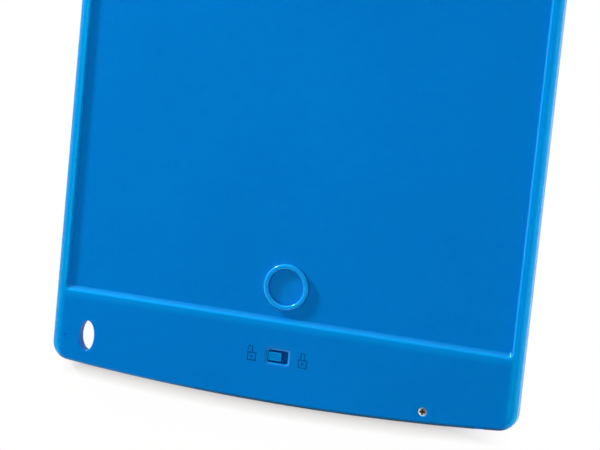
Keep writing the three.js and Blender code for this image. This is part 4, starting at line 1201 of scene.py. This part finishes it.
# Circuit board and its leads
# A small board behind the band: green solder mask over copper tracks, tinned joints, and two amber
# flexible leads that run up to the films.
solder_mask, tree = material_tree("solder_mask_on_glass_epoxy")
place = add_node(tree, "ShaderNodeTexCoord")
tracks = add_node(tree, "ShaderNodeTexBrick", {
    "Vector": place.outputs["Object"], "Scale": 1.0, "Mortar Size": 0.14 * mm, "Mortar Smooth": 0.2,
    "Brick Width": 3.1 * mm, "Row Height": 1.3 * mm,
    "Color1": linear("#0C5231"), "Color2": linear("#0E5834"), "Mortar": linear("#2B7C4B"),
})
weave = add_node(tree, "ShaderNodeTexNoise", {
    "Vector": place.outputs["Object"], "Scale": 1 / (0.4 * mm), "Detail": 2.0,
})
relief = add_node(tree, "ShaderNodeBump", {
    "Height": tracks.outputs["Fac"], "Distance": 0.02 * mm, "Strength": 0.5,
})
gloss = add_node(tree, "ShaderNodeMapRange", {
    "Value": weave.outputs["Fac"], "To Min": 0.28, "To Max": 0.42,
})
surface = add_node(tree, "ShaderNodeBsdfPrincipled", {
    "Base Color": tracks.outputs["Color"], "Roughness": gloss.outputs["Result"],
    "Normal": relief.outputs["Normal"],
})
add_node(tree, "ShaderNodeOutputMaterial", {"Surface": surface.outputs["BSDF"]})
paint(solder_mask, "circuit_board")


def copper_lines(name):
    """Amber polyimide with two printed silver lines along each lead."""
    material, tree = material_tree(name)
    place = add_node(tree, "ShaderNodeTexCoord")
    lines = add_node(tree, "ShaderNodeTexWave", {
        "Vector": place.outputs["Object"], "Scale": 1 / (10 * mm), "Distortion": 0.0,
    }, wave_type="BANDS", bands_direction="X")
    edge = add_node(tree, "ShaderNodeMapRange", {
        "Value": lines.outputs["Fac"], "From Min": 0.55, "From Max": 0.65,
    })
    colour = add_node(tree, "ShaderNodeMix", {
        "Factor": edge.outputs["Result"], 6: linear("#B86A1E"), 7: linear("#8E8C86"),
    }, data_type="RGBA")
    surface = add_node(tree, "ShaderNodeBsdfPrincipled", {
        "Base Color": colour.outputs[2], "Roughness": 0.35, "Metallic": edge.outputs["Result"],
    })
    add_node(tree, "ShaderNodeOutputMaterial", {"Surface": surface.outputs["BSDF"]})
    return material


paint(copper_lines("polyimide_flex"), "film_lead_front", "film_lead_rear")

# Board components
# Moulded and fired parts with tinned ends: the metal shows where a part is wider than its body, and
# the body keeps the fine tooth of its resin or ceramic.


def tinned_part(node, name, colour, body_half, along):
    """Body colour inside body_half from the part's middle, tin outside it, along one axis."""
    low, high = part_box(node)
    material, tree = material_tree(name)
    place = add_node(tree, "ShaderNodeTexCoord")
    local = add_node(tree, "ShaderNodeVectorMath", {
        0: place.outputs["Object"], 1: tuple((low + high) / 2),
    }, operation="SUBTRACT")
    size = add_node(tree, "ShaderNodeVectorMath", {0: local.outputs["Vector"]}, operation="ABSOLUTE")
    parts = add_node(tree, "ShaderNodeSeparateXYZ", {"Vector": size.outputs["Vector"]})
    tin = add_node(tree, "ShaderNodeMath", {0: parts.outputs[along], 1: body_half},
                   operation="GREATER_THAN")
    tooth = add_node(tree, "ShaderNodeTexNoise", {
        "Vector": place.outputs["Object"], "Scale": 1 / (0.1 * mm), "Detail": 3.0,
    })
    colours = add_node(tree, "ShaderNodeMix", {
        "Factor": tin.outputs[0], 6: linear(colour), 7: linear("#C8C8C4"),
    }, data_type="RGBA")
    gloss = add_node(tree, "ShaderNodeMapRange", {
        "Value": tin.outputs[0], "To Min": 0.6, "To Max": 0.3,
    })
    relief = add_node(tree, "ShaderNodeBump", {
        "Height": tooth.outputs["Fac"], "Distance": 0.01 * mm, "Strength": 0.5,
    })
    surface = add_node(tree, "ShaderNodeBsdfPrincipled", {
        "Base Color": colours.outputs[2], "Roughness": gloss.outputs["Result"],
        "Metallic": tin.outputs[0], "Normal": relief.outputs["Normal"],
    })
    add_node(tree, "ShaderNodeOutputMaterial", {"Surface": surface.outputs["BSDF"]})
    paint(material, node)


tinned_part("driver_chip", "epoxy_chip", "#1A1A1C", 2.0 * mm, "Y")
tinned_part("rectifier_diode", "epoxy_diode", "#1C1C1E", 0.95 * mm, "X")
for i in (1, 2, 3):
    tinned_part(f"capacitor_{i}", f"barium_titanate_{i}", "#8A6F4E", 0.65 * mm, "X")
for i in (1, 2):
    tinned_part(f"resistor_{i}", f"alumina_resistor_{i}", "#202022", 0.45 * mm, "X")
# Ferrite: dark, dry and slightly sparkling in its grain
paint(grained("sintered_ferrite", "#3A3A3D", 0.7, 0.12 * mm, 0.01 * mm, 0.2), "boost_inductor")
# Glass-filled nylon of the switches: dull black with a fibrous tooth
paint(grained("glass_filled_nylon", "#19191B", 0.55, 0.2 * mm, 0.008 * mm, 0.15),
      "erase_switch_body", "erase_switch_plunger", "lock_switch_body", "lock_switch_lever")
# Pressed spring brass, drawn lines along the strip
paint(brushed_metal("spring_brass", "#C9A04E", 0.3, 0.05), "contact_negative", "contact_positive")
for node in ("board_screw_left", "board_screw_right"):
    low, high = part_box(node)
    paint(brushed_metal("zinc_plated_" + node, "#B9BBBD", 0.3, 1.0, (low + high) / 2, around=True),
          node)
